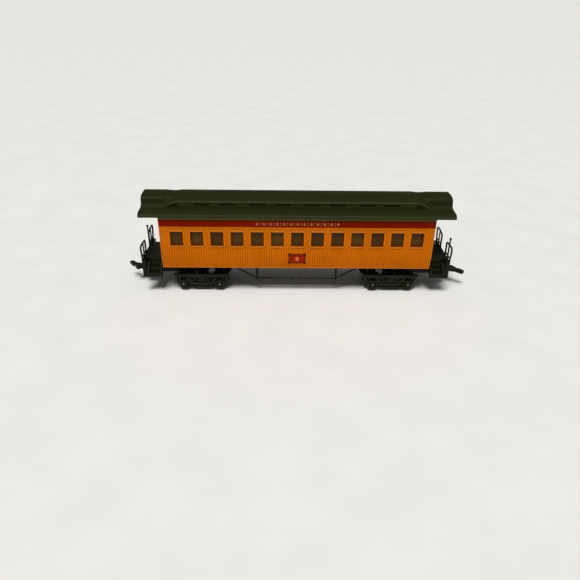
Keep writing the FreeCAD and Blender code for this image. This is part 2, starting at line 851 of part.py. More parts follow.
def frame_openings():
    """The middle opening, the slot over the tie bar and the two end slots."""
    middle = mirrored([
        ("opening_sill_half", "opening_sill_z"),
        ("opening_side_half", "opening_side_z"),
        ("opening_side_half", "frame_beam_z"),
    ])
    tie_slot = mirrored([
        ("tie_slot_low_half", "tie_slot_low_z"),
        ("tie_slot_high_half", "tie_slot_high_z"),
    ])
    end_slot = [
        ("end_slot_inner", "end_slot_z"),
        ("end_slot_outer", "frame_beam_z"),
        ("end_slot_inner", "frame_beam_z"),
    ]
    return [middle, tie_slot, end_slot, to_side("-1", end_slot)]


def make_side_frame(end, side):
    """A truck's side frame with its springs and two journal boxes."""
    body = new_piece("truck_%s_frame_%s" % (end, side), truck_place(end))
    sign = side_sign(side, end)
    low, high = side_span(sign, "frame_inner", "frame_outer")
    pad(body, "XZ", [frame_outline()], low, high)
    pocket(body, "XZ", frame_openings(), low + " - overrun", high + " + overrun")
    box_span = side_span(sign, "journal_box_inner", "journal_box_outer")
    recess_span = side_span(sign, "pedestal_recess_inner", "journal_box_outer + overrun")
    bore_span = side_span(sign, "frame_inner - overrun", "journal_end + journal_clearance")
    for axle_sign in ("1", "-1"):
        centre = axle_sign + " * axle_offset"
        left = centre + " - journal_box_half"
        right = centre + " + journal_box_half"
        box = rectangle(left, right, "journal_box_low_z", "journal_box_high_z")
        pad(body, "XZ", [box], *box_span)
        left = centre + " - pedestal_recess_half"
        right = centre + " + pedestal_recess_half"
        recess = rectangle(left, right, "pedestal_recess_low_z", "pedestal_recess_high_z")
        pocket(body, "XZ", [recess], *recess_span)
        pocket(body, "XZ", [(centre, "axle_z", "journal_bore_radius")], *bore_span)
        spring_y = "%s * (frame_inner + frame_outer) / 2" % sign
        spring = (axle_sign + " * spring_x", spring_y, "spring_radius")
        pad(body, "XY", [spring], "spring_low_z", "spring_high_z")


def make_axle(end, position):
    """A steel axle with journals, turned about its own length."""
    body = new_piece("axle_%s_%s" % (end, position), wheel_place(end, position))
    shaft_end = "wheel_front_half + hub_proud"
    tip = "journal_radius - journal_chamfer"
    revolve(body, "XY", [
        ("0", "-journal_end"),
        (tip, "-journal_end"),
        ("journal_radius", "-journal_end + journal_chamfer"),
        ("journal_radius", "-(%s)" % shaft_end),
        ("axle_radius", "-(%s)" % shaft_end),
        ("axle_radius", shaft_end),
        ("journal_radius", shaft_end),
        ("journal_radius", "journal_end - journal_chamfer"),
        (tip, "journal_end"),
        ("0", "journal_end"),
    ])


def wheel_place(end, position):
    """The middle of the outer or inner axle of a truck."""
    offset = number("axle_offset") * (1 if position == "outer" else -1)
    centre = FreeCAD.Placement(FreeCAD.Vector(offset, 0, number("axle_z")), FreeCAD.Rotation())
    return truck_place(end).multiply(centre)


def make_wheel(end, position, side):
    """A flanged disc wheel: hub, thin web, rim and flange."""
    body = new_piece("wheel_%s_%s_%s" % (end, position, side), wheel_place(end, position))
    sign = side_sign(side, end)
    hub_back = "wheel_back_half - hub_proud"
    hub_front = "wheel_front_half + hub_proud"
    web_back = "wheel_back_half + wheel_web_recess"
    web_front = "wheel_front_half - wheel_web_recess"
    profile = [
        ("axle_radius", hub_back),
        ("wheel_hub_radius", hub_back),
        ("wheel_hub_radius", web_back),
        ("wheel_rim_radius", web_back),
        ("wheel_rim_radius", "wheel_back_half"),
        ("wheel_flange_radius - flange_rounding", "wheel_back_half"),
        ("wheel_flange_radius", "wheel_back_half + flange_rounding"),
        ("wheel_flange_radius - tread_fillet", "wheel_back_half + 2 * flange_rounding"),
        ("wheel_tread_radius + tread_fillet", "wheel_back_half + flange_thickness"),
        ("wheel_tread_radius", "wheel_front_half"),
        ("wheel_rim_radius", "wheel_front_half"),
        ("wheel_rim_radius", web_front),
        ("wheel_hub_radius", web_front),
        ("wheel_hub_radius", hub_front),
        ("axle_radius", hub_front),
    ]
    revolve(body, "XY", [(radius, "%s * (%s)" % (sign, across)) for radius, across in profile])


# ---------------------------------------------------------------- couplers

# The horn-hook coupler seen from above: each corner's distance ahead of the
# pivot and across the coach, in millimetres.
HORN_HOOK = (
    (-2.0, -1.4),
    (6.0, -1.3),
    (8.2, -2.9),
    (10.4, -3.3),
    (13.7, -6.3),
    (15.3, -5.0),
    (12.9, -1.9),
    (11.7, -1.7),
    (11.3, -0.5),
    (9.6, 2.2),
    (8.2, 2.2),
    (7.6, 1.3),
    (-2.0, 1.4),
)


def make_coupler(end):
    """A coupler with the hole that turns on its post."""
    body = new_piece("coupler_" + end, truck_place(end))
    low = "box_floor_z + coupler_play"
    high = "box_top_z - coupler_play"
    outline = [("coupler_pivot + (%s)" % ahead, str(across)) for ahead, across in HORN_HOOK]
    pad(body, "XY", [outline], low, high)
    hole = ("coupler_pivot", "0", "coupler_hole_radius")
    pocket(body, "XY", [hole], low + " - overrun", high + " + overrun")


def make_coupler_cover(end):
    """The plate that keeps the coupler on its post."""
    body = new_piece("coupler_cover_" + end, truck_place(end))
    plate = rectangle("box_back", "box_front", "-box_half", "box_half")
    pad(body, "XY", [plate], "box_top_z", "box_top_z + cover_thickness")


# ---------------------------------------------------------------- assembly

def make_coach():
    """Make every piece at its place in the coach."""
    make_body_shell()
    make_glazing()
    make_roof()
    make_underframe()
    make_ballast()
    for side in ("left", "right"):
        make_truss(side)
    for end in END_PLACES:
        make_platform(end)
        make_kingpin(end)
        make_brake_staff(end)
        make_bolster(end)
        make_coupler(end)
        make_coupler_cover(end)
        for side in ("left", "right"):
            make_steps(end, side)
            make_railing(end, side)
            make_side_frame(end, side)
        for position in ("inner", "outer"):
            make_axle(end, position)
            for side in ("left", "right"):
                make_wheel(end, position, side)


def check_features():
    """Stop if a feature failed, or a pad or pocket changed nothing."""
    for item in doc.Objects:
        if "Invalid" in item.State or "Error" in item.State:
            raise RuntimeError("%s: %s" % (item.Name, item.State))
    for body in pieces:
        volume = 0.0
        for feature in body.Group:
            if not feature.isDerivedFrom("PartDesign::Feature"):
                continue
            removes = feature.isDerivedFrom("PartDesign::Pocket")
            change = feature.Shape.Volume - volume
            if not feature.isDerivedFrom("PartDesign::LinearPattern") and (change < 0) != removes:
                raise RuntimeError("%s has no effect" % feature.Name)
            volume = feature.Shape.Volume


def write_pieces():
    """Check each piece's shape and write it to its own file."""
    os.makedirs("parts", exist_ok=True)
    for body in pieces:
        shape = body.Shape
        if shape.isNull() or not shape.isValid() or len(shape.Solids) != 1:
            raise RuntimeError("%s is not one valid solid" % body.Label)
        shape.exportStep("parts/%s.step" % body.Label)
        box = shape.BoundBox
        reach = (box.XMin, box.XMax, box.YMin, box.YMax, box.ZMin, box.ZMax)
        print("%-24s %9.1f mm3  x %6.1f %6.1f  y %6.1f %6.1f  z %5.1f %5.1f"
              % (body.Label, shape.Volume, *reach))


make_coach()
doc.recompute()
check_features()
write_pieces()
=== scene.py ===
"""The looks of the model passenger coach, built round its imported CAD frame.

Pieces are drawn in millimetres in the frame's own axes: X along the coach with
end A at +X, the right-hand side at -Y, and Z = 0 under the wheel flanges.
End B holds the same pieces as end A, turned half a turn about Z.
"""

import json
import math

import bmesh
import bpy
from mathutils import Matrix, Vector
from mathutils.geometry import interpolate_bezier


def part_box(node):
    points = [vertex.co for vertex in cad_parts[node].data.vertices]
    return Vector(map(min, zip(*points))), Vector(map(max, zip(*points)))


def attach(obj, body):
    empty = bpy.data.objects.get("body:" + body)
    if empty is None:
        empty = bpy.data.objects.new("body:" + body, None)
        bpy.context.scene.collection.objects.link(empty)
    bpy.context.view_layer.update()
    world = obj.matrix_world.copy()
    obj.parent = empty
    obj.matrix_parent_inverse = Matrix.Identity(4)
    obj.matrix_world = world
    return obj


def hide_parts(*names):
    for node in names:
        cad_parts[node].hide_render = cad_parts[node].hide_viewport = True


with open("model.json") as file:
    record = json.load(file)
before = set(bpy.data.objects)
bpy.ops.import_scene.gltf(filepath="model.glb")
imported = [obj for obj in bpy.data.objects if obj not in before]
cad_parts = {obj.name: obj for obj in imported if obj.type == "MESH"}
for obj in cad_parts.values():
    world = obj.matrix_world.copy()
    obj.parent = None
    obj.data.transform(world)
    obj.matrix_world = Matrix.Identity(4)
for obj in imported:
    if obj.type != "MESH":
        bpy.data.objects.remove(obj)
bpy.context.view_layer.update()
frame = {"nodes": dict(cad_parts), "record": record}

MM = 0.001
SIDES = {"left": 1, "right": -1}
ENDS = {"a": 1, "b": -1}


def corners(node):
    """Lowest and highest corner of a CAD node, in millimetres."""
    low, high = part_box(node)
    return low / MM, high / MM


# ------------------------------------------------------------------ sizes

BODY_LOW, BODY_HIGH = corners("body_shell")
ROOF_LOW, ROOF_HIGH = corners("roof")
BODY_END = BODY_HIGH.x
SKIRT_Z = BODY_LOW.z
EAVE_Z = ROOF_LOW.z
ROOF_END = ROOF_HIGH.x
ROOF_HALF = ROOF_HIGH.y
RIDGE_Z = ROOF_HIGH.z

WALL = 1.2
BODY_HALF = 16.5
TUCK_TOP = 26.0
TUCK_RADIUS = 34.0
TUCK_STEPS = 8
POST = 0.75
SKIRT_BEAD = 0.65
SKIRT_BEAD_BULGE = 0.2
TRIM_PROUD = 0.08
BOARDS_TOP = 28.6
WINDOW_COUNT = 13
WINDOW_PITCH = 10.975
WINDOW_HALF = 3.545
WINDOW_LOW, WINDOW_HIGH = 30.0, 38.35
# Width of the ring of painted shade inside each window opening.
SHADE_RING = 0.7
STILE = 0.7
BROW_HALF = WINDOW_HALF + 1.0
LIP_HALF = WINDOW_HALF + 0.2
LETTER_LOW, LETTER_HIGH = 41.5, 45.0
LOZENGE_COUNT = 13
LOZENGE_PITCH = 3.65
EMBLEM_Z = 22.5
BOARD_COUNT = 111
GROOVE_HALF = 0.21
GROOVE_DEPTH = 0.19

DECK_Z = 49.8
DECK_UNDER_Z = 47.5
CROWN_RADIUS = 24.7
CROWN_HALF = 9.35
CLERESTORY_HALF = 9.5
CLERESTORY_WALL = 9.35
CLERESTORY_STRAIGHT = 65.0
CLERESTORY_END = 72.9
BAND_Z = 53.2
BAND_DEPTH = 1.1
VENT_PAIRS = 4
VENT_PAIR_PITCH = 29.9
VENT_PAIR_HALF = 6.85
VENT_HALF = 4.35
VENT_LOW, VENT_HIGH = 50.6, 51.9
VENT_RECESS = 0.1
PANEL_PROUD = 0.05
RIB_PROUD = 0.13
RIB_HALF = 0.2
BRACKET_X = 62.8

TRUCK_X = 54.4
AXLE_OFFSET = 10.3


# ------------------------------------------------------------------ materials

EDGE_REACH = 0.22 * MM
CREVICE_REACH = 0.9 * MM
AO_SAMPLES = 6
MOTTLE = 0.07
# The Mix node's colour sockets go by number, because their names repeat.
MIX_SHARE, MIX_FIRST, MIX_SECOND, MIX_RESULT = 0, 6, 7, 2


def node_of(tree, kind, **values):
    """A shader node with its properties and unlinked inputs set."""
    node = tree.nodes.new(kind)
    for name, value in values.items():
        if hasattr(node, name):
            setattr(node, name, value)
        else:
            node.inputs[name].default_value = value
    return node


def noise(tree, scale, detail=3.0):
    """Noise in the object's own coordinates; scale is in waves per metre."""
    place = node_of(tree, "ShaderNodeTexCoord")
    texture = node_of(tree, "ShaderNodeTexNoise", Scale=scale, Detail=detail)
    tree.links.new(place.outputs["Object"], texture.inputs["Vector"])
    return texture.outputs["Fac"]


def remap(tree, value, low, high, start=0.35, end=0.65):
    """Stretch a value between start and end over low to high."""
    spread = node_of(tree, "ShaderNodeMapRange")
    spread.inputs["From Min"].default_value = start
    spread.inputs["From Max"].default_value = end
    spread.inputs["To Min"].default_value = low
    spread.inputs["To Max"].default_value = high
    tree.links.new(value, spread.inputs["Value"])
    return spread.outputs["Result"]


def blend_colours(tree, share, first, second):
    """Mix two colours, each a tuple or another node's output."""
    mix = node_of(tree, "ShaderNodeMix", data_type="RGBA")
    tree.links.new(share, mix.inputs[MIX_SHARE])
    for number, colour in ((MIX_FIRST, first), (MIX_SECOND, second)):
        if isinstance(colour, tuple):
            mix.inputs[number].default_value = colour + (1.0,)
        else:
            tree.links.new(colour, mix.inputs[number])
    return mix.outputs[MIX_RESULT]


def shade(colour, factor):
    return tuple(min(1.0, channel * factor) for channel in colour)


def new_material(name):
    """A material with its node tree and its surface shader."""
    material = bpy.data.materials.new(name)
    material.use_nodes = True
    tree = material.node_tree
    return material, tree, tree.nodes["Principled BSDF"]


def vary_roughness(tree, surface, scale, low, high):
    tree.links.new(remap(tree, noise(tree, scale), low, high), surface.inputs["Roughness"])


def add_grain(tree, surface, scale, strength, depth):
    """Bumps on a surface; scale is in waves per metre and depth in millimetres."""
    bump = node_of(tree, "ShaderNodeBump", Strength=strength, Distance=depth * MM)
    tree.links.new(noise(tree, scale), bump.inputs["Height"])
    tree.links.new(bump.outputs["Normal"], surface.inputs["Normal"])


def speckle(tree, colour):
    """Vary a colour with broad mottling and fine lighter specks."""
    broad = remap(tree, noise(tree, 60.0), 0.0, 1.0)
    mottled = blend_colours(tree, broad, shade(colour, 1 - MOTTLE), shade(colour, 1 + MOTTLE))
    specks = remap(tree, noise(tree, 2600.0, 2.0), 0.0, 0.4, 0.6, 0.75)
    return blend_colours(tree, specks, mottled, shade(colour, 1.2))


def occlusion(tree, reach, **values):
    """How open a surface is within reach, from 0 to 1; with inside=True, how thick it is."""
    node = node_of(tree, "ShaderNodeAmbientOcclusion", Distance=reach, samples=AO_SAMPLES, **values)
    return node.outputs["AO"]


def moulded(name, colour, crevice_shade, rough=(0.38, 0.55), gloss=0.25, edge_highlight=1.35):
    """Injection-moulded or painted plastic.

    Broad mottling and fine specks vary the colour. Crevices take the darker crevice colour as painted
    shade, convex edges are lightened as a painted highlight, and a fine grain roughens the surface.
    """
    material, tree, surface = new_material(name)
    surface.inputs["IOR"].default_value = 1.5
    surface.inputs["Specular IOR Level"].default_value = gloss
    # Convex edges, found by occlusion looking into the solid, are lightened: a painted highlight.
    edge_highlight_share = remap(tree, occlusion(tree, EDGE_REACH, inside=True), 1.0, 0.0, 0.45, 0.85)
    highlit_colour = blend_colours(tree, edge_highlight_share, speckle(tree, colour), shade(colour, edge_highlight))
    # Crevices, found by occlusion, take the darker colour: painted shade.
    depth = remap(tree, occlusion(tree, CREVICE_REACH), 0.0, 1.0, 0.35, 0.95)
    tree.links.new(blend_colours(tree, depth, crevice_shade, highlit_colour), surface.inputs["Base Color"])
    vary_roughness(tree, surface, 300.0, *rough)
    add_grain(tree, surface, 3500.0, 0.2, 0.03)
    return material


def clear_plastic(name, shaded_inside, shadow):
    """Clear sheet whose brown colour is painted shade for the dark inside seen through it, with noisy
    patches of deeper painted shade and a faint waviness.
    """
    material, tree, surface = new_material(name)
    surface.inputs["IOR"].default_value = 1.49
    surface.inputs["Specular IOR Level"].default_value = 0.06
    surface.inputs["Transmission Weight"].default_value = 0.15
    shade_patches = remap(tree, noise(tree, 55.0, 4.0), 0.0, 1.0, 0.4, 0.6)
    tree.links.new(blend_colours(tree, shade_patches, shadow, shaded_inside), surface.inputs["Base Color"])
    vary_roughness(tree, surface, 420.0, 0.12, 0.24)
    add_grain(tree, surface, 250.0, 0.15, 0.05)
    return material


def brushed_metal(name, colour, rough):
    """Turned steel or brass with fine mottling."""
    material, tree, surface = new_material(name)
    surface.inputs["Metallic"].default_value = 1.0
    share = remap(tree, noise(tree, 1500.0), 0.0, 1.0)
    mottled = blend_colours(tree, share, shade(colour, 0.8), shade(colour, 1.1))
    tree.links.new(mottled, surface.inputs["Base Color"])
    vary_roughness(tree, surface, 900.0, *rough)
    return material


ORANGE = moulded("orange_plastic", (0.60, 0.142, 0.0), (0.26, 0.048, 0.0), gloss=0.04, edge_highlight=1.15)
# A darker copy of the orange plastic for the window band, stiles and eyebrows: painted shade.
BAND_SHADED_ORANGE = moulded("orange_band_shaded", (0.53, 0.123, 0.0), (0.27, 0.052, 0.0), gloss=0.04, edge_highlight=1.25)
# A lighter copy of the orange plastic for raised trim: a painted highlight, where the same moulding
# catches more light.
LIT_ORANGE = moulded("orange_trim_lit", (0.53, 0.155, 0.012), (0.27, 0.055, 0.001), gloss=0.05, edge_highlight=1.2)
# Dark brown for the rings inside the window openings: painted shade of the reveals.
REVEAL_SHADE_BROWN = moulded("reveal_shade_brown", (0.115, 0.028, 0.001), (0.05, 0.011, 0.0005), gloss=0.04, edge_highlight=1.2)
RED = moulded("red_paint", (0.180, 0.007, 0.0), (0.06, 0.003, 0.0), gloss=0.02, edge_highlight=1.15)
# Brown for the orange moulding under the eaves: painted shade of the roof overhang.
EAVE_SHADE_BROWN = moulded("eave_shade_brown", (0.10, 0.062, 0.016), (0.04, 0.020, 0.005), gloss=0.1, edge_highlight=1.15)
EMBLEM_RED = moulded("emblem_red", (0.225, 0.009, 0.0015), (0.10, 0.004, 0.001), gloss=0.04)
EMBLEM_EDGE = moulded("emblem_edge", (0.045, 0.006, 0.002), (0.02, 0.003, 0.001), gloss=0.1)
DULL_GOLD = moulded("gold_paint", (0.27, 0.085, 0.022), (0.12, 0.03, 0.01), gloss=0.15, edge_highlight=1.2)
ROOF_GREEN = moulded("olive_plastic", (0.0115, 0.0155, 0.0024), (0.010, 0.013, 0.002),
                     (0.5, 0.65), gloss=0.08)
# A lighter copy of the olive plastic for the eave bead, clerestory band and brackets: a painted highlight.
ROOF_LIT_TRIM = moulded("olive_trim_lit", (0.026, 0.032, 0.010), (0.010, 0.013, 0.004), (0.5, 0.65), gloss=0.08)
# A lighter copy of the olive plastic for the clerestory walls and ribs: painted light, where the upright
# walls get less light.
WALL_LIT_GREEN = moulded("olive_wall_lit", (0.023, 0.027, 0.005), (0.013, 0.016, 0.003), (0.5, 0.65), gloss=0.06)
# The black plastics take strong edge factors: painted highlights along their edges, strongest on the
# wheels.
BLACK = moulded("black_plastic", (0.0065, 0.0085, 0.0025), (0.001, 0.002, 0.001),
                (0.3, 0.45), gloss=0.12, edge_highlight=3.5)
WHEEL_BLACK = moulded("wheel_black", (0.010, 0.013, 0.006), (0.002, 0.003, 0.001),
                      (0.25, 0.4), gloss=0.25, edge_highlight=4.0)
# A lighter copy of the black plastic for the frames' raised ribs: a painted highlight.
RIB_LIT_BLACK = moulded("rib_lit_black", (0.014, 0.020, 0.009), (0.003, 0.004, 0.001),
                    (0.3, 0.45), gloss=0.12, edge_highlight=2.5)
# Lighter grey for the journal bosses: a painted highlight.
BOSS_LIT_GREY = moulded("boss_lit_grey", (0.060, 0.066, 0.045), (0.004, 0.005, 0.003),
                    (0.2, 0.3), gloss=0.6, edge_highlight=1.5)
# The glazing's browns are painted shade: the shaded inside of the coach, seen through the panes.
CLEAR = clear_plastic("clear_plastic", (0.100, 0.046, 0.002), (0.074, 0.027, 0.0))
STEEL = brushed_metal("steel", (0.45, 0.44, 0.42), (0.22, 0.4))
BRASS = brushed_metal("brass", (0.60, 0.36, 0.12), (0.3, 0.45))

# The CAD nodes that stay: each slot's material and the width of its rounded edges.
CAD_FINISHES = {
    "black_plastic": (BLACK, 0.1),
    "clear_plastic": (CLEAR, 0.05),
    "steel": (STEEL, 0.05),
}


# ------------------------------------------------------------------ shapes

def along(axis, u, v, w):
    """A point from two outline values and its place along the axis."""
    return {"x": (w, u, v), "y": (u, w, v), "z": (u, v, w)}[axis]


def rounded(outline, steps=4):
    """A closed outline whose corners (u, v, radius) become arcs."""
    points = []
    for index, (u, v, radius) in enumerate(outline):
        here = Vector((u, v))
        if not radius:
            points.append(here)
            continue
        back = (Vector(outline[index - 1][:2]) - here).normalized()
        onward = (Vector(outline[(index + 1) % len(outline)][:2]) - here).normalized()
        half = back.angle(onward) / 2
        centre = here + (back + onward).normalized() * (radius / math.sin(half))
        start = here + back * (radius / math.tan(half)) - centre
        end = here + onward * (radius / math.tan(half)) - centre
        turn = math.atan2(start.cross(end), start.dot(end))
        for step in range(steps + 1):
            points.append(centre + Matrix.Rotation(turn * step / steps, 2) @ start)
    return points


def both_sides(half):
    """A half outline followed by its mirror image across the middle."""
    return list(half) + [(-corner[0],) + tuple(corner[1:]) for corner in reversed(half)]


# Each neighbour of a grid cell, and the two corners of the edge that it shares.
CELL_BORDERS = (((-1, 0), (0, 0), (0, 1)), ((1, 0), (1, 0), (1, 1)),
                ((0, -1), (0, 0), (1, 0)), ((0, 1), (0, 1), (1, 1)))


def solid_cells(columns, rows, is_open):
    """The cells of a grid whose middles aren't open."""
    cells = []
    for i in range(len(columns) - 1):
        for j in range(len(rows) - 1):
            middle = ((columns[i] + columns[i + 1]) / 2, (rows[j] + rows[j + 1]) / 2)
            if not (is_open and is_open(*middle)):
                cells.append((i, j))
    return cells


class Shape:
    """The points and faces of one piece, in millimetres."""

    def __init__(self):
        self.points = []
        self.faces = []

    def add(self, points, faces):
        first = len(self.points)
        self.points += [Vector(point) for point in points]
        self.faces += [[first + index for index in face] for face in faces]

    def loft(self, rings, ring_closed=False):
        """Skin a row of rings of equally many points."""
        count = len(rings[0])
        spans = len(rings) if ring_closed else len(rings) - 1
        faces = []
        for row in range(spans):
            near = row * count
            far = (row + 1) % len(rings) * count
            for index in range(count):
                after = (index + 1) % count
                faces.append([near + index, near + after, far + after, far + index])
        if not ring_closed:
            faces.append(list(range(count)))
            faces.append([(len(rings) - 1) * count + index for index in range(count)])
        self.add([point for ring in rings for point in ring], faces)

    def prism(self, outline, axis, low, high):
        self.loft([[along(axis, u, v, w) for u, v in outline] for w in (low, high)])

    def box(self, x_span, y_span, z_span):
        left, right = x_span
        near, far = y_span
        self.prism([(left, near), (right, near), (right, far), (left, far)], "z", *z_span)

    def bar(self, start, end, width, axis, low, high):
        """A straight bar between two outline points, from low to high along the axis."""
        run = (Vector(end) - Vector(start)).normalized() * width / 2
        across = Vector((-run.y, run.x))
        start = Vector(start)
        end = Vector(end)
        self.prism([start - across, end - across, end + across, start + across], axis, low, high)

    def tube(self, path, radius, sides=10, closed=False):
        """A round rod along a path of points, mitred at its bends."""
        path = [Vector(point) for point in path]
        rings = []
        up = Vector((0.0, 0.0, 1.0))
        count = len(path)
        for index, point in enumerate(path):
            before = path[index - 1] if index or closed else point
            after = path[(index + 1) % count] if index < count - 1 or closed else point
            into = (point - before).normalized() if point != before else (after - point).normalized()
            out = (after - point).normalized() if point != after else into
            run = (into + out).normalized()
            if abs(run.dot(up)) > 0.95:
                up = Vector((1.0, 0.0, 0.0)) if abs(run.x) < 0.9 else Vector((0.0, 1.0, 0.0))
            side = run.cross(up).normalized()
            up = side.cross(run).normalized()
            widen = 1 / max(0.5, run.dot(into))
            bend = out - into
            bend = bend.normalized() if bend.length > 1e-6 else Vector()
            ring = []
            for step in range(sides):
                angle = 2 * math.pi * step / sides
                offset = (side * math.cos(angle) + up * math.sin(angle)) * radius
                offset += bend * offset.dot(bend) * (widen - 1)
                ring.append(point + offset)
            rings.append(ring)
        self.loft(rings, ring_closed=closed)

    def turned(self, profile, centre, axis, sides=24):
        """Turn a profile of (radius, height) about an axis through a centre."""
        rings = []
        for radius, height in profile:
            ring = []
            for step in range(sides):
                angle = 2 * math.pi * step / sides
                offset = along(axis, radius * math.cos(angle), radius * math.sin(angle), height)
                ring.append(Vector(centre) + Vector(offset))
            rings.append(ring)
        self.loft(rings)

    def wall(self, columns, rows, outer, inner, place, is_open=None):
        """A wall over a grid, with the open cells cut right through it.

        outer and inner give the two faces' distances at a column and row, and
        place turns column, row and distance into a point.
        """
        solid = solid_cells(columns, rows, is_open)
        filled = set(solid)
        numbers = {}
        points = []

        def corner(i, j, face):
            if (i, j, face) not in numbers:
                distance = (outer, inner)[face](columns[i], rows[j])
                numbers[i, j, face] = len(points)
                points.append(place(columns[i], rows[j], distance))
            return numbers[i, j, face]

        faces = []
        for i, j in solid:
            for face in (0, 1):
                faces.append([corner(i, j, face), corner(i + 1, j, face),
                              corner(i + 1, j + 1, face), corner(i, j + 1, face)])
            for (di, dj), first, last in CELL_BORDERS:
                if (i + di, j + dj) in filled:
                    continue
                a = (i + first[0], j + first[1])
                b = (i + last[0], j + last[1])
                faces.append([corner(*a, 0), corner(*a, 1), corner(*b, 1), corner(*b, 0)])
        self.add(points, faces)

    def move(self, matrix):
        self.points = [matrix @ point for point in self.points]

    def turn_to_end(self, end):
        """Turn a shape drawn at end A to its own end."""
        if end == "b":
            self.move(Matrix.Rotation(math.pi, 4, "Z"))


def make_piece(name, shape, body, material, bevel=0.0, crease=35.0):
    """Turn a shape into a named piece that rides on a body."""
    mesh = bpy.data.meshes.new(name)
    mesh.from_pydata([point * MM for point in shape.points], [], shape.faces)
    work = bmesh.new()
    work.from_mesh(mesh)
    bmesh.ops.recalc_face_normals(work, faces=work.faces)
    work.to_mesh(mesh)
    work.free()
    mesh.materials.append(material)
    mesh.shade_smooth()
    piece = bpy.data.objects.new(name, mesh)
    bpy.context.scene.collection.objects.link(piece)
    if bevel:
        soften(piece, bevel)
    else:
        mesh.set_sharp_from_angle(angle=math.radians(crease))
    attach(piece, body)
    return piece


def soften(piece, width):
    """Round a piece's edges with a small bevel."""
    bevel = piece.modifiers.new("rounded_edges", "BEVEL")
    bevel.width = width * MM
    bevel.segments = 2
    bevel.limit_method = "ANGLE"
    bevel.angle_limit = math.radians(40)
    bevel.harden_normals = True


# ------------------------------------------------------------------ coach sides

def side_distance(z):
    """How far the outer wall is from the middle at a height."""
    drop = max(0.0, TUCK_TOP - z)
    return BODY_HALF - TUCK_RADIUS + math.sqrt(TUCK_RADIUS ** 2 - drop ** 2)


def steps_between(low, high, count):
    return [low + (high - low) * index / count for index in range(count + 1)]


def tuck_rows():
    """Heights that follow the side's curve from the skirt to where it stands upright."""
    return steps_between(SKIRT_Z, TUCK_TOP, TUCK_STEPS)


def side_place(sign):
    """Places a side wall's points for one side of the coach."""
    return lambda x, z, distance: (x, sign * distance, z)


def proud(amount):
    """A face that stands a set amount out from the tucked wall."""
    return lambda across, z: side_distance(z) + amount


def window_centres():
    return [(index - (WINDOW_COUNT - 1) / 2) * WINDOW_PITCH for index in range(WINDOW_COUNT)]


def over_window(x, z):
    at_window = any(abs(x - centre) < WINDOW_HALF for centre in window_centres())
    return at_window and WINDOW_LOW < z < WINDOW_HIGH


def board_columns(low, high, count):
    """Each board's face between two V grooves."""
    pitch = (high - low) / count
    columns = [low]
    for index in range(count):
        start = low + index * pitch
        columns += [start + GROOVE_HALF, start + pitch - GROOVE_HALF, start + pitch]
    return columns


def groove_depth(columns):
    """How deep the wall is cut at a column: every third one is a groove."""
    grooves = set(columns[::3])
    return lambda across: GROOVE_DEPTH if across in grooves else 0.0


def make_side(side, sign):
    """One side wall: its boards, window band, corner posts, trim and letterboard."""
    place = side_place(sign)
    post_inner = BODY_END - POST
    inner = proud(-WALL)

    siding = Shape()
    columns = board_columns(-post_inner, post_inner, BOARD_COUNT)
    depth = groove_depth(columns)
    rows = tuck_rows() + [BOARDS_TOP]
    siding.wall(columns, rows, lambda x, z: side_distance(z) - depth(x), inner, place)
    siding_piece = make_piece("siding_" + side, siding, "coach", ORANGE, crease=25)

    band = Shape()
    edges = [-post_inner]
    for centre in window_centres():
        edges += [centre - WINDOW_HALF, centre + WINDOW_HALF]
    edges.append(post_inner)
    rows = [BOARDS_TOP, WINDOW_LOW, WINDOW_HIGH, LETTER_LOW]
    band.wall(edges, rows, proud(0.0), inner, place, over_window)
    make_piece("window_band_" + side, band, "coach", BAND_SHADED_ORANGE, bevel=0.1)

    make_side_trim(side, place, post_inner)
    make_window_frames(side, sign)
    make_letterboard(side, sign)
    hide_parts("body_shell")


def make_side_trim(side, place, post_inner):
    """The corner posts, and the bead along the bottom of the boards, in the lighter orange that is a
    painted highlight.
    """
    trim = Shape()
    for span in ((-BODY_END, -post_inner), (post_inner, BODY_END)):
        trim.wall(span, tuck_rows() + [LETTER_LOW], proud(TRIM_PROUD), proud(-WALL), place)

    def bead(across, z):
        rise = (z - SKIRT_Z) / SKIRT_BEAD
        return side_distance(z) + TRIM_PROUD + SKIRT_BEAD_BULGE * math.sin(math.pi * rise)

    rows = steps_between(SKIRT_Z, SKIRT_Z + SKIRT_BEAD, 4)
    trim.wall((-BODY_END, BODY_END), rows, bead, proud(-0.6), place)
    make_piece("side_trim_" + side, trim, "coach", LIT_ORANGE, bevel=0.1)


def make_window_frames(side, sign):
    """Low stiles and an eyebrow round every window, with a header and sill in the lighter orange that is a
    painted highlight.
    """
    frames = Shape()
    lips = Shape()
    reveal_shades = Shape()

    def raised(shape, half_width, z_span, amount, x):
        y_span = sorted((sign * (BODY_HALF - 0.3), sign * (BODY_HALF + amount)))
        shape.box((x - half_width, x + half_width), y_span, z_span)

    for centre in window_centres():
        for edge in (-1, 1):
            stile = centre + edge * (WINDOW_HALF + STILE / 2)
            raised(frames, STILE / 2, (WINDOW_LOW - 0.1, WINDOW_HIGH + 0.1), 0.12, stile)
        raised(frames, BROW_HALF, (WINDOW_HIGH + 2.0, WINDOW_HIGH + 2.5), 0.16, centre)
        add_reveal_shade(reveal_shades, sign, centre)
        raised(lips, LIP_HALF, (WINDOW_HIGH + 0.02, WINDOW_HIGH + 1.3), 0.24, centre)
        raised(lips, LIP_HALF, (WINDOW_LOW - 0.72, WINDOW_LOW - 0.02), 0.28, centre)
    make_piece("window_reveal_shades_" + side, reveal_shades, "coach", REVEAL_SHADE_BROWN, bevel=0.04)
    make_piece("window_frames_" + side, frames, "coach", BAND_SHADED_ORANGE, bevel=0.05)
    make_piece("window_lips_" + side, lips, "coach", LIT_ORANGE, bevel=0.07)


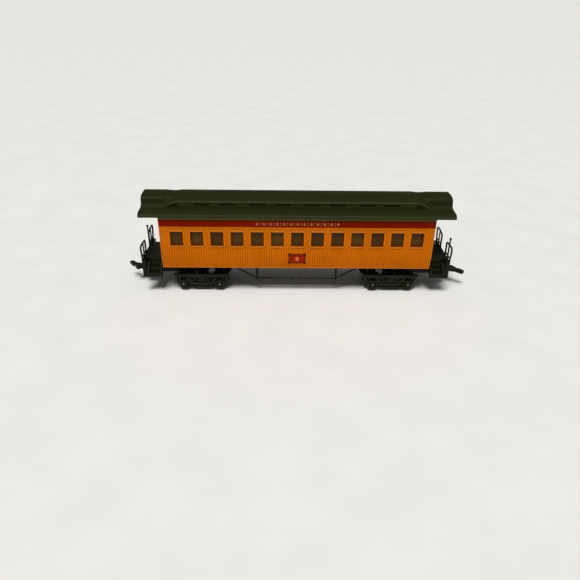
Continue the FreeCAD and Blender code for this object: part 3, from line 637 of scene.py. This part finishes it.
def add_reveal_shade(reveal_shades, sign, centre):
    """A thin dark ring round the glazing inside one window opening: painted shade for the shadow in the
    window's reveal.
    """
    low = centre - WINDOW_HALF
    high = centre + WINDOW_HALF
    columns = [low, low + SHADE_RING, high - SHADE_RING, high]
    rows = [WINDOW_LOW, WINDOW_LOW + SHADE_RING, WINDOW_HIGH - SHADE_RING, WINDOW_HIGH]

    def is_pane(x, z):
        return columns[1] < x < columns[2] and rows[1] < z < rows[2]

    reveal_shades.wall(columns, rows, proud(-0.3), proud(-WALL + 0.02), side_place(sign), is_pane)


def make_letterboard(side, sign):
    """The red board under the eaves, its gold ornament and the moulding over it, whose brown is painted
    shade of the eaves.
    """
    place = side_place(sign)
    columns = (-BODY_END, BODY_END)
    board = Shape()
    board.wall(columns, (LETTER_LOW, LETTER_HIGH), proud(0.2), proud(-0.5), place)
    make_piece("letterboard_" + side, board, "coach", RED, bevel=0.08)

    def slope(across, z):
        return BODY_HALF + 0.05 + 0.35 * (z - LETTER_HIGH) / (EAVE_Z - LETTER_HIGH)

    moulding = Shape()
    moulding.wall(columns, (LETTER_HIGH + 0.05, EAVE_Z), slope, proud(-WALL), place)
    moulding.wall(columns, (LETTER_LOW, DECK_UNDER_Z), proud(-0.3), proud(-WALL), place)
    make_piece("eave_moulding_" + side, moulding, "coach", EAVE_SHADE_BROWN, bevel=0.1)

    make_ornament(side, sign)


def make_ornament(side, sign):
    """A row of lozenges between pairs of small dots along the red board."""
    ornament = Shape()
    middle_z = (LETTER_LOW + LETTER_HIGH) / 2
    span = (sign * (BODY_HALF + 0.1), sign * (BODY_HALF + 0.27))

    def lozenge(x, z, half_width, half_height):
        outline = [(x - half_width, z), (x, z - half_height), (x + half_width, z), (x, z + half_height)]
        ornament.prism(outline, "y", *span)

    for index in range(LOZENGE_COUNT):
        x = (index - (LOZENGE_COUNT - 1) / 2) * LOZENGE_PITCH
        lozenge(x, middle_z, 0.85, 1.1)
        if index == LOZENGE_COUNT - 1:
            break
        for lift in (-0.55, 0.55):
            lozenge(x + LOZENGE_PITCH / 2, middle_z + lift, 0.42, 0.42)
    make_piece("letterboard_ornament_" + side, ornament, "coach", DULL_GOLD)


def make_emblem(side, sign):
    """A plain plaque on the middle of the side, with corner bosses and a lozenge."""
    lean = math.asin((TUCK_TOP - EMBLEM_Z) / TUCK_RADIUS)
    on_wall = Matrix.Translation((0.0, sign * side_distance(EMBLEM_Z), EMBLEM_Z))
    tilt = on_wall @ Matrix.Rotation(-sign * lean, 4, "X")

    def plaque(half_width, half_height, radius, low, high):
        shape = Shape()
        outline = rounded([(-half_width, -half_height, radius), (half_width, -half_height, radius),
                           (half_width, half_height, radius), (-half_width, half_height, radius)])
        shape.prism(outline, "y", sign * low, sign * high)
        return shape

    edge = plaque(4.5, 2.85, 0.9, -0.35, 0.12)
    for x in (-4.3, 4.3):
        for z in (-2.65, 2.65):
            edge.turned([(0.7, sign * -0.3), (0.7, sign * 0.12), (0.45, sign * 0.2)], (x, 0.0, z), "y", 16)
    field = plaque(4.1, 2.45, 0.7, -0.3, 0.17)
    lozenge = Shape()
    lozenge.prism([(-1.3, 0.0), (0.0, -1.5), (1.3, 0.0), (0.0, 1.5)], "y", sign * 0.1, sign * 0.22)
    for name, shape, material in (("edge", edge, EMBLEM_EDGE), ("field", field, EMBLEM_RED),
                                  ("lozenge", lozenge, LIT_ORANGE)):
        shape.move(tilt)
        make_piece("emblem_%s_%s" % (name, side), shape, "coach", material)


# ------------------------------------------------------------------ coach ends

DOOR_HALF = 4.4
DOOR_TOP = 42.0
END_LIGHT_INNER, END_LIGHT_OUTER = 7.2, 12.4
DOOR_LIGHT_HALF = 2.7
DOOR_FRAME = 0.9
END_FRAME = 0.7
END_BOARDS = 9
PLATFORM_Z = 20.3
DOOR_PANELS = ((PLATFORM_Z + 1.2, 25.6), (26.4, 29.6), (39.2, 41.2))
RAILING_ROD = 0.5
RAILING_GAP = 5.4
RAILING_POST = 10.2
RAILING_FOOT = 14.5
RAILING_POST_TOP = 28.9
RAILING_BAR_Z = 22.3
RAILING_BAR_END = 14.9


def end_place(across, z, distance):
    """An end wall's points; it narrows towards the bottom with the sides."""
    limit = side_distance(z) - WALL
    return (distance, max(-limit, min(limit, across)), z)


def end_opening(across, z):
    if abs(across) < DOOR_HALF:
        return PLATFORM_Z < z < DOOR_TOP
    return WINDOW_LOW < z < WINDOW_HIGH and END_LIGHT_INNER < abs(across) < END_LIGHT_OUTER


def at_depth(depth):
    """A face of the end wall, a set amount in from the end of the body."""
    return lambda across, z: BODY_END - depth


def make_end_boards(end):
    """The boarded end wall, with openings for the door and two windows."""
    half_boards = board_columns(DOOR_HALF, BODY_HALF - WALL, END_BOARDS)
    half_columns = half_boards + [END_LIGHT_INNER, END_LIGHT_OUTER]
    columns = sorted({-column for column in half_columns} | set(half_columns))
    rows = [SKIRT_Z, 18.0, PLATFORM_Z, 23.0, TUCK_TOP, WINDOW_LOW, WINDOW_HIGH, DOOR_TOP, DECK_UNDER_Z]
    depth = groove_depth(half_boards)
    wall = Shape()
    wall.wall(columns, rows, lambda across, z: BODY_END - depth(abs(across)), at_depth(WALL),
              end_place, end_opening)
    wall.turn_to_end(end)
    make_piece("end_boards_" + end, wall, "coach", ORANGE, crease=25)


def make_end_trim(end):
    """The frames round the end's windows and door, in the lighter orange that is a painted highlight."""
    trim = Shape()
    lip = (BODY_END - 0.3, BODY_END + 0.18)
    sill = (BODY_END - 0.3, BODY_END + 0.28)
    frame_inner = END_LIGHT_INNER - END_FRAME
    frame_outer = END_LIGHT_OUTER + END_FRAME
    for sign in (-1, 1):
        for inner, outer in ((frame_inner, END_LIGHT_INNER), (END_LIGHT_OUTER, frame_outer)):
            span = sorted((sign * inner, sign * outer))
            trim.box(lip, span, (WINDOW_LOW - 0.1, WINDOW_HIGH + 0.1))
        span = sorted((sign * frame_inner, sign * frame_outer))
        trim.box(lip, span, (WINDOW_HIGH, WINDOW_HIGH + 0.9))
        trim.box(sill, span, (WINDOW_LOW - 0.8, WINDOW_LOW))
        span = sorted((sign * DOOR_HALF, sign * (DOOR_HALF + DOOR_FRAME)))
        trim.box(lip, span, (PLATFORM_Z, DOOR_TOP + DOOR_FRAME))
    trim.box(lip, (-DOOR_HALF - DOOR_FRAME, DOOR_HALF + DOOR_FRAME), (DOOR_TOP, DOOR_TOP + DOOR_FRAME))
    trim.turn_to_end(end)
    make_piece("end_trim_" + end, trim, "coach", LIT_ORANGE, bevel=0.08)


def door_panel(half_width, low, high, radius):
    """The rounded outline of one raised panel of the door."""
    return rounded([(-half_width, low, radius), (half_width, low, radius),
                    (half_width, high, radius), (-half_width, high, radius)], 2)


def make_door(end):
    """A panelled door with a light in its upper half, and its knob."""
    columns = [-DOOR_HALF, -DOOR_LIGHT_HALF, DOOR_LIGHT_HALF, DOOR_HALF]
    rows = [PLATFORM_Z, *DOOR_PANELS[0], *DOOR_PANELS[1], WINDOW_LOW, WINDOW_HIGH, DOOR_TOP]

    def is_light(across, z):
        return abs(across) < DOOR_LIGHT_HALF and WINDOW_LOW < z < WINDOW_HIGH

    door = Shape()
    door.wall(columns, rows, at_depth(0.45), at_depth(WALL),
              lambda across, z, distance: (distance, across, z), is_light)
    for low, high in DOOR_PANELS:
        panel = door_panel(DOOR_LIGHT_HALF, low, high, 0.3)
        door.prism(panel, "x", BODY_END - 0.6, BODY_END - 0.28)
        inset = door_panel(DOOR_LIGHT_HALF - 0.5, low + 0.5, high - 0.5, 0.2)
        door.prism(inset, "x", BODY_END - 0.6, BODY_END - 0.14)
    door.turn_to_end(end)
    make_piece("end_door_" + end, door, "coach", ORANGE, bevel=0.06)

    knob = Shape()
    profile = [(0.12, -0.5), (0.12, 0.02), (0.34, 0.1), (0.38, 0.25), (0.2, 0.38)]
    knob.turned(profile, (BODY_END, 3.5, 29.4), "x", 16)
    knob.turn_to_end(end)
    make_piece("door_knob_" + end, knob, "coach", BRASS)


def make_railing(end, side):
    """Half of the end railing: a round bar bent over two posts, and a bar between them."""
    sign = SIDES[side] * ENDS[end]
    x = corners("platform_a")[1].x - RAILING_ROD
    foot_z = PLATFORM_Z - 0.3
    bent = rounded([(RAILING_FOOT, foot_z, 0.0), (15.8, 25.6, 4.0), (16.3, 29.1, 1.7), (10.7, 29.0, 6.0),
                    (RAILING_GAP, 28.3, 0.9), (RAILING_GAP, foot_z, 0.0)], 6)
    post = [(RAILING_POST, foot_z), (RAILING_POST, RAILING_POST_TOP)]
    bar = [(RAILING_GAP, RAILING_BAR_Z), (RAILING_BAR_END, RAILING_BAR_Z)]
    shape = Shape()
    for path, radius in ((bent, RAILING_ROD), (post, RAILING_ROD * 0.8), (bar, RAILING_ROD * 0.7)):
        shape.tube([(x, sign * y, z) for y, z in path], radius)
    for y in (RAILING_GAP, RAILING_POST, RAILING_FOOT):
        shape.turned([(0.75, -0.05), (0.7, 0.35), (0.45, 0.55)], (x, sign * y, PLATFORM_Z), "z", 14)
    shape.turn_to_end(end)
    piece = make_piece("end_railing_%s_%s" % (end, side), shape, "coach", BLACK, crease=40)
    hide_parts("railing_%s_%s" % (end, side))


# ------------------------------------------------------------------ roof

HOOD_BLEND = 1.6
RIB_COUNT = 5
EAVE_LIP = 0.9
EAVE_BEAD_TOP = 48.45


def crown_height(y):
    return RIDGE_Z - CROWN_RADIUS + math.sqrt(CROWN_RADIUS ** 2 - y ** 2)


def hood_curve():
    """Half of the roof's ogee end section, from the ridge to its foot."""
    ridge = Vector((0.0, RIDGE_Z))
    shoulder = Vector((7.15, 52.6))
    foot = Vector((CROWN_HALF, DECK_Z + 0.02))
    upper = interpolate_bezier(ridge, Vector((4.6, RIDGE_Z - 0.05)), Vector((6.9, 54.9)), shoulder, 9)
    lower = interpolate_bezier(shoulder, Vector((7.3, 51.2)), Vector((7.9, 50.0)), foot, 7)
    return list(upper) + list(lower)[1:]


def roof_half_section(x, hood):
    """The clerestory's half section at a place along the coach."""
    reach = (abs(x) - CLERESTORY_STRAIGHT) / (CLERESTORY_END - CLERESTORY_STRAIGHT)
    fall = min(1.0, max(0.0, reach)) ** HOOD_BLEND
    points = []
    for index, foot in enumerate(hood):
        y = CROWN_HALF * index / (len(hood) - 1)
        points.append(Vector((y, crown_height(y))).lerp(foot, fall))
    edge = points[-1].y
    soffit = edge - BAND_DEPTH
    points += [(CLERESTORY_HALF, edge - 0.12), (CLERESTORY_HALF, soffit),
               (CLERESTORY_HALF - 0.15, soffit - 0.1), (CLERESTORY_WALL, soffit - 0.15)]
    at_vent = any(abs(abs(x) - centre) < VENT_HALF + 0.01 for centre in vent_centres())
    depth = CLERESTORY_WALL - (VENT_RECESS if at_vent else 0.0)
    top = soffit - 0.2
    wall_rows = ((CLERESTORY_WALL, VENT_HIGH + 0.02), (depth, VENT_HIGH),
                 (depth, VENT_LOW), (CLERESTORY_WALL, VENT_LOW - 0.02))
    for index, (y, z) in enumerate(wall_rows):
        points.append((y, min(z, top - 0.02 * index)))
    points.append((CLERESTORY_WALL, DECK_UNDER_Z + 0.7))
    return [tuple(point) for point in points]


def vent_centres():
    """Middles of the clerestory's windows on one half of its length, innermost first."""
    pairs = [(index + 0.5) * VENT_PAIR_PITCH for index in range(VENT_PAIRS // 2)]
    return [pair + edge * VENT_PAIR_HALF for pair in pairs for edge in (-1, 1)]


def roof_stations():
    """Places along the roof where its section changes."""
    half = [0.0]
    for centre in vent_centres():
        for edge in (-1, 1):
            limit = centre + edge * VENT_HALF
            half += sorted((limit, limit + edge * 0.05))
    half += steps_between(CLERESTORY_STRAIGHT, CLERESTORY_END, 12)
    half += [CLERESTORY_END + 0.8, ROOF_END]
    return sorted({-x for x in half} | set(half))


def make_clerestory(hood):
    """The roof's raised middle, lofted along the coach down into both hoods."""
    shape = Shape()
    rings = []
    for x in roof_stations():
        half = roof_half_section(x, hood)
        mirrored = [(-y, z) for y, z in reversed(half[1:])]
        rings.append([(x, y, z) for y, z in half + mirrored])
    shape.loft(rings)
    piece = make_piece("clerestory", shape, "coach", ROOF_GREEN, crease=32)
    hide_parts("roof")


def make_clerestory_brackets():
    """A flared bracket at each end of the clerestory's walls."""
    brackets = Shape()
    top = BAND_Z - BAND_DEPTH + 0.3
    foot = DECK_Z - 0.2
    for sign in (-1, 1):
        for x in (-BRACKET_X, BRACKET_X):
            outline = rounded([(x - 2.5, top, 0), (x - 0.8, 51.0, 1.2), (x - 0.8, foot, 0),
                               (x + 0.8, foot, 0), (x + 0.8, 51.0, 1.2), (x + 2.5, top, 0)])
            brackets.prism(outline, "y", sign * (CLERESTORY_WALL - 0.2), sign * (CLERESTORY_HALF - 0.05))
    make_piece("clerestory_trim", brackets, "coach", ROOF_LIT_TRIM, bevel=0.06)


def wall_span(sign, amount):
    """From inside the clerestory's wall to a set amount proud of it."""
    return sorted((sign * (CLERESTORY_WALL - 0.4), sign * (CLERESTORY_WALL + amount)))


def make_clerestory_walls():
    """Panels below and between the clerestory's windows, with ribs on the panels between."""
    panels = Shape()
    ribs = Shape()
    centres = sorted([-centre for centre in vent_centres()] + vent_centres())
    edges = [centre + edge * VENT_HALF for centre in centres for edge in (-1, 1)]
    ends = [-CLERESTORY_STRAIGHT] + edges + [CLERESTORY_STRAIGHT]
    for sign in (-1, 1):
        face = wall_span(sign, PANEL_PROUD)
        rib_face = wall_span(sign, RIB_PROUD)
        panels.box((-CLERESTORY_STRAIGHT, CLERESTORY_STRAIGHT), face, (DECK_Z - 0.3, VENT_LOW - 0.05))
        for start, end in zip(ends[::2], ends[1::2]):
            panels.box((start, end), face, (VENT_LOW - 0.05, VENT_HIGH + 0.3))
        for before, after in zip(centres, centres[1:]):
            step = (after - before - 2 * VENT_HALF) / (RIB_COUNT + 0.2)
            for rib in range(RIB_COUNT):
                x = (before + after) / 2 + (rib - RIB_COUNT // 2) * step
                ribs.box((x - RIB_HALF, x + RIB_HALF), rib_face, (DECK_Z, VENT_HIGH + 0.1))
    make_piece("clerestory_walls", panels, "coach", WALL_LIT_GREEN)
    make_piece("clerestory_ribs", ribs, "coach", WALL_LIT_GREEN, bevel=0.06)


def make_clerestory_band(hood):
    """The raised band that follows the clerestory's edge down at both ends."""
    band = Shape()
    inner = CLERESTORY_HALF - 0.4
    stations = [x for x in roof_stations() if abs(x) <= CLERESTORY_END + 0.1]
    for sign in (-1, 1):
        rings = []
        for x in stations:
            edge = roof_half_section(x, hood)[len(hood) - 1][1]
            section = ((inner, edge - BAND_DEPTH + 0.05), (CLERESTORY_HALF + 0.12, edge - BAND_DEPTH),
                       (CLERESTORY_HALF + 0.16, edge - 0.25), (CLERESTORY_HALF - 0.02, edge + 0.04),
                       (inner, edge + 0.02))
            rings.append([(x, sign * y, z) for y, z in section])
        band.loft(rings)
    make_piece("clerestory_band", band, "coach", ROOF_LIT_TRIM, crease=40)


def make_roof_deck():
    """The lower deck, with a rounded bead along its eaves and a closed soffit."""
    inner_lip = ROOF_HALF - EAVE_LIP
    half = [(inner_lip, DECK_UNDER_Z, 0.2), (inner_lip, EAVE_Z + 0.1, 0.1), (ROOF_HALF - 0.3, EAVE_Z, 0.2),
            (ROOF_HALF - 0.45, 48.5, 0.0), (ROOF_HALF - 0.75, 49.35, 0.5), (12.0, DECK_Z - 0.06, 3.0)]
    deck = Shape()
    deck.prism(rounded(both_sides(half)), "x", 0.1 - ROOF_END, ROOF_END - 0.1)
    make_piece("roof_deck", deck, "coach", ROOF_GREEN, bevel=0.12)

    bead = Shape()
    outline = rounded([(ROOF_HALF - 0.7, EAVE_Z + 0.05, 0.2), (ROOF_HALF, EAVE_Z + 0.05, 0.35),
                       (ROOF_HALF, EAVE_BEAD_TOP, 0.45), (ROOF_HALF - 0.7, EAVE_BEAD_TOP + 0.15, 0.2)])
    for sign in (-1, 1):
        bead.prism([(sign * y, z) for y, z in outline], "x", -ROOF_END, ROOF_END)
    for end in (-1, 1):
        span = sorted((end * (ROOF_END - 0.8), end * ROOF_END))
        bead.box(span, (-ROOF_HALF + 0.3, ROOF_HALF - 0.3), (EAVE_Z + 0.05, DECK_UNDER_Z + 0.2))
    make_piece("eave_bead", bead, "coach", ROOF_LIT_TRIM, bevel=0.1)


# ------------------------------------------------------------------ underbody

QUEEN_POST_X = 22.5
TRUSS_Y = 12.5
TRUSS_ROD_Z = 8.35
TRUSS_ROD = 0.42
TRUSS_RISE = 14.6
FLOOR_BOTTOM_Z = 16.6


def make_truss(side, sign):
    """A round truss rod over two queen posts, with its turnbuckle."""
    y = sign * TRUSS_Y
    shape = Shape()
    foot = QUEEN_POST_X + TRUSS_RISE
    path = [(-foot, y, FLOOR_BOTTOM_Z), (-QUEEN_POST_X, y, TRUSS_ROD_Z),
            (QUEEN_POST_X, y, TRUSS_ROD_Z), (foot, y, FLOOR_BOTTOM_Z)]
    shape.tube(path, TRUSS_ROD)
    queen_post = [(0.62, 7.45), (0.75, 7.7), (0.75, 8.9), (0.5, 9.2), (0.6, 13.6), (1.05, 14.9),
                  (1.05, FLOOR_BOTTOM_Z)]
    for x in (-QUEEN_POST_X, QUEEN_POST_X):
        shape.turned(queen_post, (x, y, 0.0), "z", 14)
    half_turnbuckle = [(0.5, 1.55), (0.68, 1.7), (0.68, 2.45), (TRUSS_ROD, 2.6)]
    other_half = [(radius, -reach) for radius, reach in reversed(half_turnbuckle)]
    shape.turned(other_half + half_turnbuckle, (0.0, y, TRUSS_ROD_Z), "x", 14)
    piece = make_piece("truss_" + side, shape, "coach", BLACK, crease=40)
    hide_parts("truss_rod_" + side)


# ------------------------------------------------------------------ trucks

FRAME_INNER = 11.2
FRAME_BACK = 11.4
FRAME_OUTER = 12.8
RIB_INNER = 12.3
RIB_OUTER = 13.1
LID_INNER = 13.2
FRAME_TOP_Z = 10.8
BEAM_Z = 9.1
FOOT_Z = 1.95
SILL_Z = 4.5
BOSS_Z = 4.75
SPRING_X = 3.9
SPRING_COILS = 5
SPRING_PITCH = 0.78


def side_frame_shape():
    """One truck side frame about its own middle; depth grows away from the coach."""
    shape = Shape()
    top = [(-15.4, BEAM_Z), (15.4, BEAM_Z), (15.5, 10.3), (15.5, FRAME_TOP_Z),
           (-15.5, FRAME_TOP_Z), (-15.5, 10.3)]
    shape.prism(top, "y", FRAME_INNER, FRAME_OUTER)
    shape.box((-15.6, 15.6), (FRAME_INNER, RIB_OUTER), (FRAME_TOP_Z - 0.4, FRAME_TOP_Z))
    for end in (-1, 1):
        shape.bar((end * 15.0, BEAM_Z + 0.4), (end * 11.9, FOOT_Z + 0.4), 0.7, "y", FRAME_BACK, 12.7)
        for leg in (8.1, 12.3):
            shape.box(sorted((end * (leg - 0.4), end * (leg + 0.4))), (11.3, 12.9), (3.0, BEAM_Z + 0.2))
        # A thin black sheet at the back of each pedestal opening, standing in for the shade behind it.
        shape.box(sorted((end * 8.2, end * 12.2)), (11.25, 11.5), (3.0, 9.0))
        shape.box(sorted((end * 7.6, end * 12.4)), (FRAME_BACK, FRAME_OUTER), (FOOT_Z, FOOT_Z + 0.75))
        axle = end * AXLE_OFFSET
        shape.box((axle - 1.5, axle + 1.5), (FRAME_BACK, LID_INNER + 0.2), (2.9, 6.9))
    # A thin black sheet behind the frame's middle that shuts out the floor beyond: it stands in for the
    # shade under the coach.
    shape.box((-7.8, 7.8), (11.25, 11.45), (FOOT_Z + 0.3, BEAM_Z + 0.2))
    return shape


def frame_rib_shape():
    """The raised ribs of a side frame: its edges, sill, braces, springs and tie bar."""
    shape = Shape()
    shape.box((-15.1, 15.1), (12.6, 13.0), (BEAM_Z, BEAM_Z + 0.28))
    shape.box((-5.0, 5.0), (RIB_INNER, RIB_OUTER), (SILL_Z - 0.35, SILL_Z + 0.2))
    shape.box((-7.9, 7.9), (12.0, 12.5), (FOOT_Z, FOOT_Z + 0.4))
    shape.box((-1.3, 1.3), (FRAME_BACK, RIB_INNER), (5.2, 6.9))
    shape.box((-3.0, 3.0), (12.5, 12.95), (9.75, 10.1))
    for end in (-1, 1):
        shape.bar((end * 7.7, 8.0), (end * 4.9, SILL_Z - 0.1), 0.5, "y", RIB_INNER, RIB_OUTER)
        shape.bar((end * 14.7, BEAM_Z + 0.1), (end * 11.9, FOOT_Z + 0.9), 0.3, "y", 12.6, 12.95)
        for coil in range(SPRING_COILS):
            height = 5.3 + SPRING_PITCH * coil
            shape.turned([(0.6, 0.0), (0.85, 0.15), (0.85, 0.4), (0.6, 0.55)],
                         (end * SPRING_X, 12.2, height), "z", 12)
    return shape


def journal_lid_shape():
    """The tapering lids of both journal boxes, each under a hinge."""
    shape = Shape()
    for x in (-AXLE_OFFSET, AXLE_OFFSET):
        lid = [(x - 1.35, 6.8), (x - 0.95, 3.9), (x - 0.5, 3.3),
               (x + 0.5, 3.3), (x + 0.95, 3.9), (x + 1.35, 6.8)]
        shape.prism(lid, "y", LID_INNER, LID_INNER + 0.5)
        shape.box((x - 0.9, x + 0.9), (LID_INNER, LID_INNER + 0.75), (6.5, 6.95))
        shape.turned([(1.05, 13.6), (1.05, 13.85), (0.9, 13.95)], (x, 0.0, BOSS_Z), "y", 20)
    return shape


def journal_boss_shape():
    """The round boss low on each journal box's lid, in a lighter grey that is a painted highlight."""
    shape = Shape()
    for x in (-AXLE_OFFSET, AXLE_OFFSET):
        shape.turned([(0.6, 13.9), (0.6, 14.0), (0.5, 14.15), (0.3, 14.25), (0.1, 14.28)],
                     (x, 0.0, BOSS_Z), "y", 20)
    return shape


def make_side_frame(end, side):
    """One truck side frame with its ribs, journal lids and bosses."""
    truck = "truck_" + end
    mirror = Matrix.Diagonal((1.0, float(SIDES[side]), 1.0, 1.0))
    place = Matrix.Translation((ENDS[end] * TRUCK_X, 0.0, 0.0)) @ mirror

    def add(name, shape, material, bevel=0.0):
        shape.move(place)
        return make_piece("%s_%s_%s" % (name, end, side), shape, truck, material, bevel)

    piece = add("side_frame", side_frame_shape(), BLACK, 0.08)
    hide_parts("%s_frame_%s" % (truck, side))
    add("frame_ribs", frame_rib_shape(), RIB_LIT_BLACK, 0.06)
    add("journal_lids", journal_lid_shape(), BLACK, 0.05)
    add("journal_bosses", journal_boss_shape(), BOSS_LIT_GREY)


# ------------------------------------------------------------------ CAD nodes that stay

def dress_cad_nodes():
    """Give the CAD nodes that stay their material and small rounded edges."""
    slots = {part["node"]: part["material_slot"] for part in frame["record"]["subparts"]}
    for name, node in frame["nodes"].items():
        if node.hide_render:
            continue
        material, edge_width = CAD_FINISHES[slots[name]]
        if name.startswith("wheel_"):
            material = WHEEL_BLACK
        if not node.material_slots:
            node.data.materials.append(material)
        node.material_slots[0].link = "OBJECT"
        node.material_slots[0].material = material
        weld = node.modifiers.new("joined_corners", "WELD")
        weld.merge_threshold = 0.001 * MM
        soften(node, edge_width)


# ------------------------------------------------------------------ stage

FLOOR_HALF = 12.0    # metres
CAMERA_PLACE = (-10.31 * MM, -294.69 * MM, 158.10 * MM)
CAMERA_PAN, CAMERA_DOWN, CAMERA_ROLL = -1.376, 29.194, 0.951    # degrees


def make_floor():
    """A plain pale floor under the wheels."""
    mesh = bpy.data.meshes.new("floor")
    corner_signs = ((-1, -1), (1, -1), (1, 1), (-1, 1))
    points = [(x * FLOOR_HALF, y * FLOOR_HALF, 0.0) for x, y in corner_signs]
    mesh.from_pydata(points, [], [(0, 1, 2, 3)])
    material, tree, surface = new_material("pale_floor")
    surface.inputs["Roughness"].default_value = 0.7
    share = remap(tree, noise(tree, 40.0), 0.0, 1.0)
    mottled = blend_colours(tree, share, (0.70, 0.69, 0.66), (0.73, 0.72, 0.69))
    tree.links.new(mottled, surface.inputs["Base Color"])
    mesh.materials.append(material)
    floor = bpy.data.objects.new("floor", mesh)
    bpy.context.scene.collection.objects.link(floor)


def add_sun(name, azimuth, elevation, strength, softness):
    """A distant light; azimuth 0 shines from the coach's right-hand side, 90 from end A."""
    data = bpy.data.lights.new(name, "SUN")
    data.energy = strength
    data.angle = math.radians(softness)
    light = bpy.data.objects.new(name, data)
    turn = Matrix.Rotation(math.radians(azimuth), 4, "Z")
    light.matrix_world = turn @ Matrix.Rotation(math.radians(90 - elevation), 4, "X")
    bpy.context.scene.collection.objects.link(light)


def make_lights():
    add_sun("key", azimuth=-18.0, elevation=66.0, strength=3.15, softness=22.0)
    add_sun("top", azimuth=30.0, elevation=80.0, strength=0.4, softness=30.0)


def make_world():
    """A studio that is pale round the horizon and dimmer overhead."""
    world = bpy.data.worlds.new("studio")
    world.use_nodes = True
    tree = world.node_tree
    direction = node_of(tree, "ShaderNodeTexCoord")
    parts = node_of(tree, "ShaderNodeSeparateXYZ")
    tree.links.new(direction.outputs["Generated"], parts.inputs["Vector"])
    height = remap(tree, parts.outputs["Z"], 0.0, 1.0, 0.18, 0.36)
    colour = blend_colours(tree, height, (0.32, 0.32, 0.315), (0.125, 0.125, 0.125))
    tree.links.new(colour, tree.nodes["Background"].inputs["Color"])
    bpy.context.scene.world = world


def make_camera():
    """A camera in front of the coach's right-hand side, looking down on it."""
    data = bpy.data.cameras.new("camera")
    data.sensor_width = 36.0
    data.lens = 34.46
    data.clip_start = 0.01
    data.clip_end = 60.0
    camera = bpy.data.objects.new("camera", data)
    pan = Matrix.Rotation(math.radians(CAMERA_PAN), 4, "Z")
    tilt = Matrix.Rotation(math.radians(90 - CAMERA_DOWN), 4, "X")
    roll = Matrix.Rotation(math.radians(CAMERA_ROLL), 4, "Z")
    camera.matrix_world = Matrix.Translation(CAMERA_PLACE) @ pan @ tilt @ roll
    bpy.context.scene.collection.objects.link(camera)
    bpy.context.scene.camera = camera


# ------------------------------------------------------------------ assembly

for side, sign in SIDES.items():
    make_side(side, sign)
    make_emblem(side, sign)
    make_truss(side, sign)
for end in ENDS:
    make_end_boards(end)
    make_end_trim(end)
    make_door(end)
    for side in SIDES:
        make_railing(end, side)
        make_side_frame(end, side)
make_roof_deck()
hood = hood_curve()
make_clerestory(hood)
make_clerestory_walls()
make_clerestory_brackets()
make_clerestory_band(hood)
dress_cad_nodes()
make_floor()
make_lights()
make_world()
make_camera()
bpy.context.scene.view_settings.view_transform = "Standard"
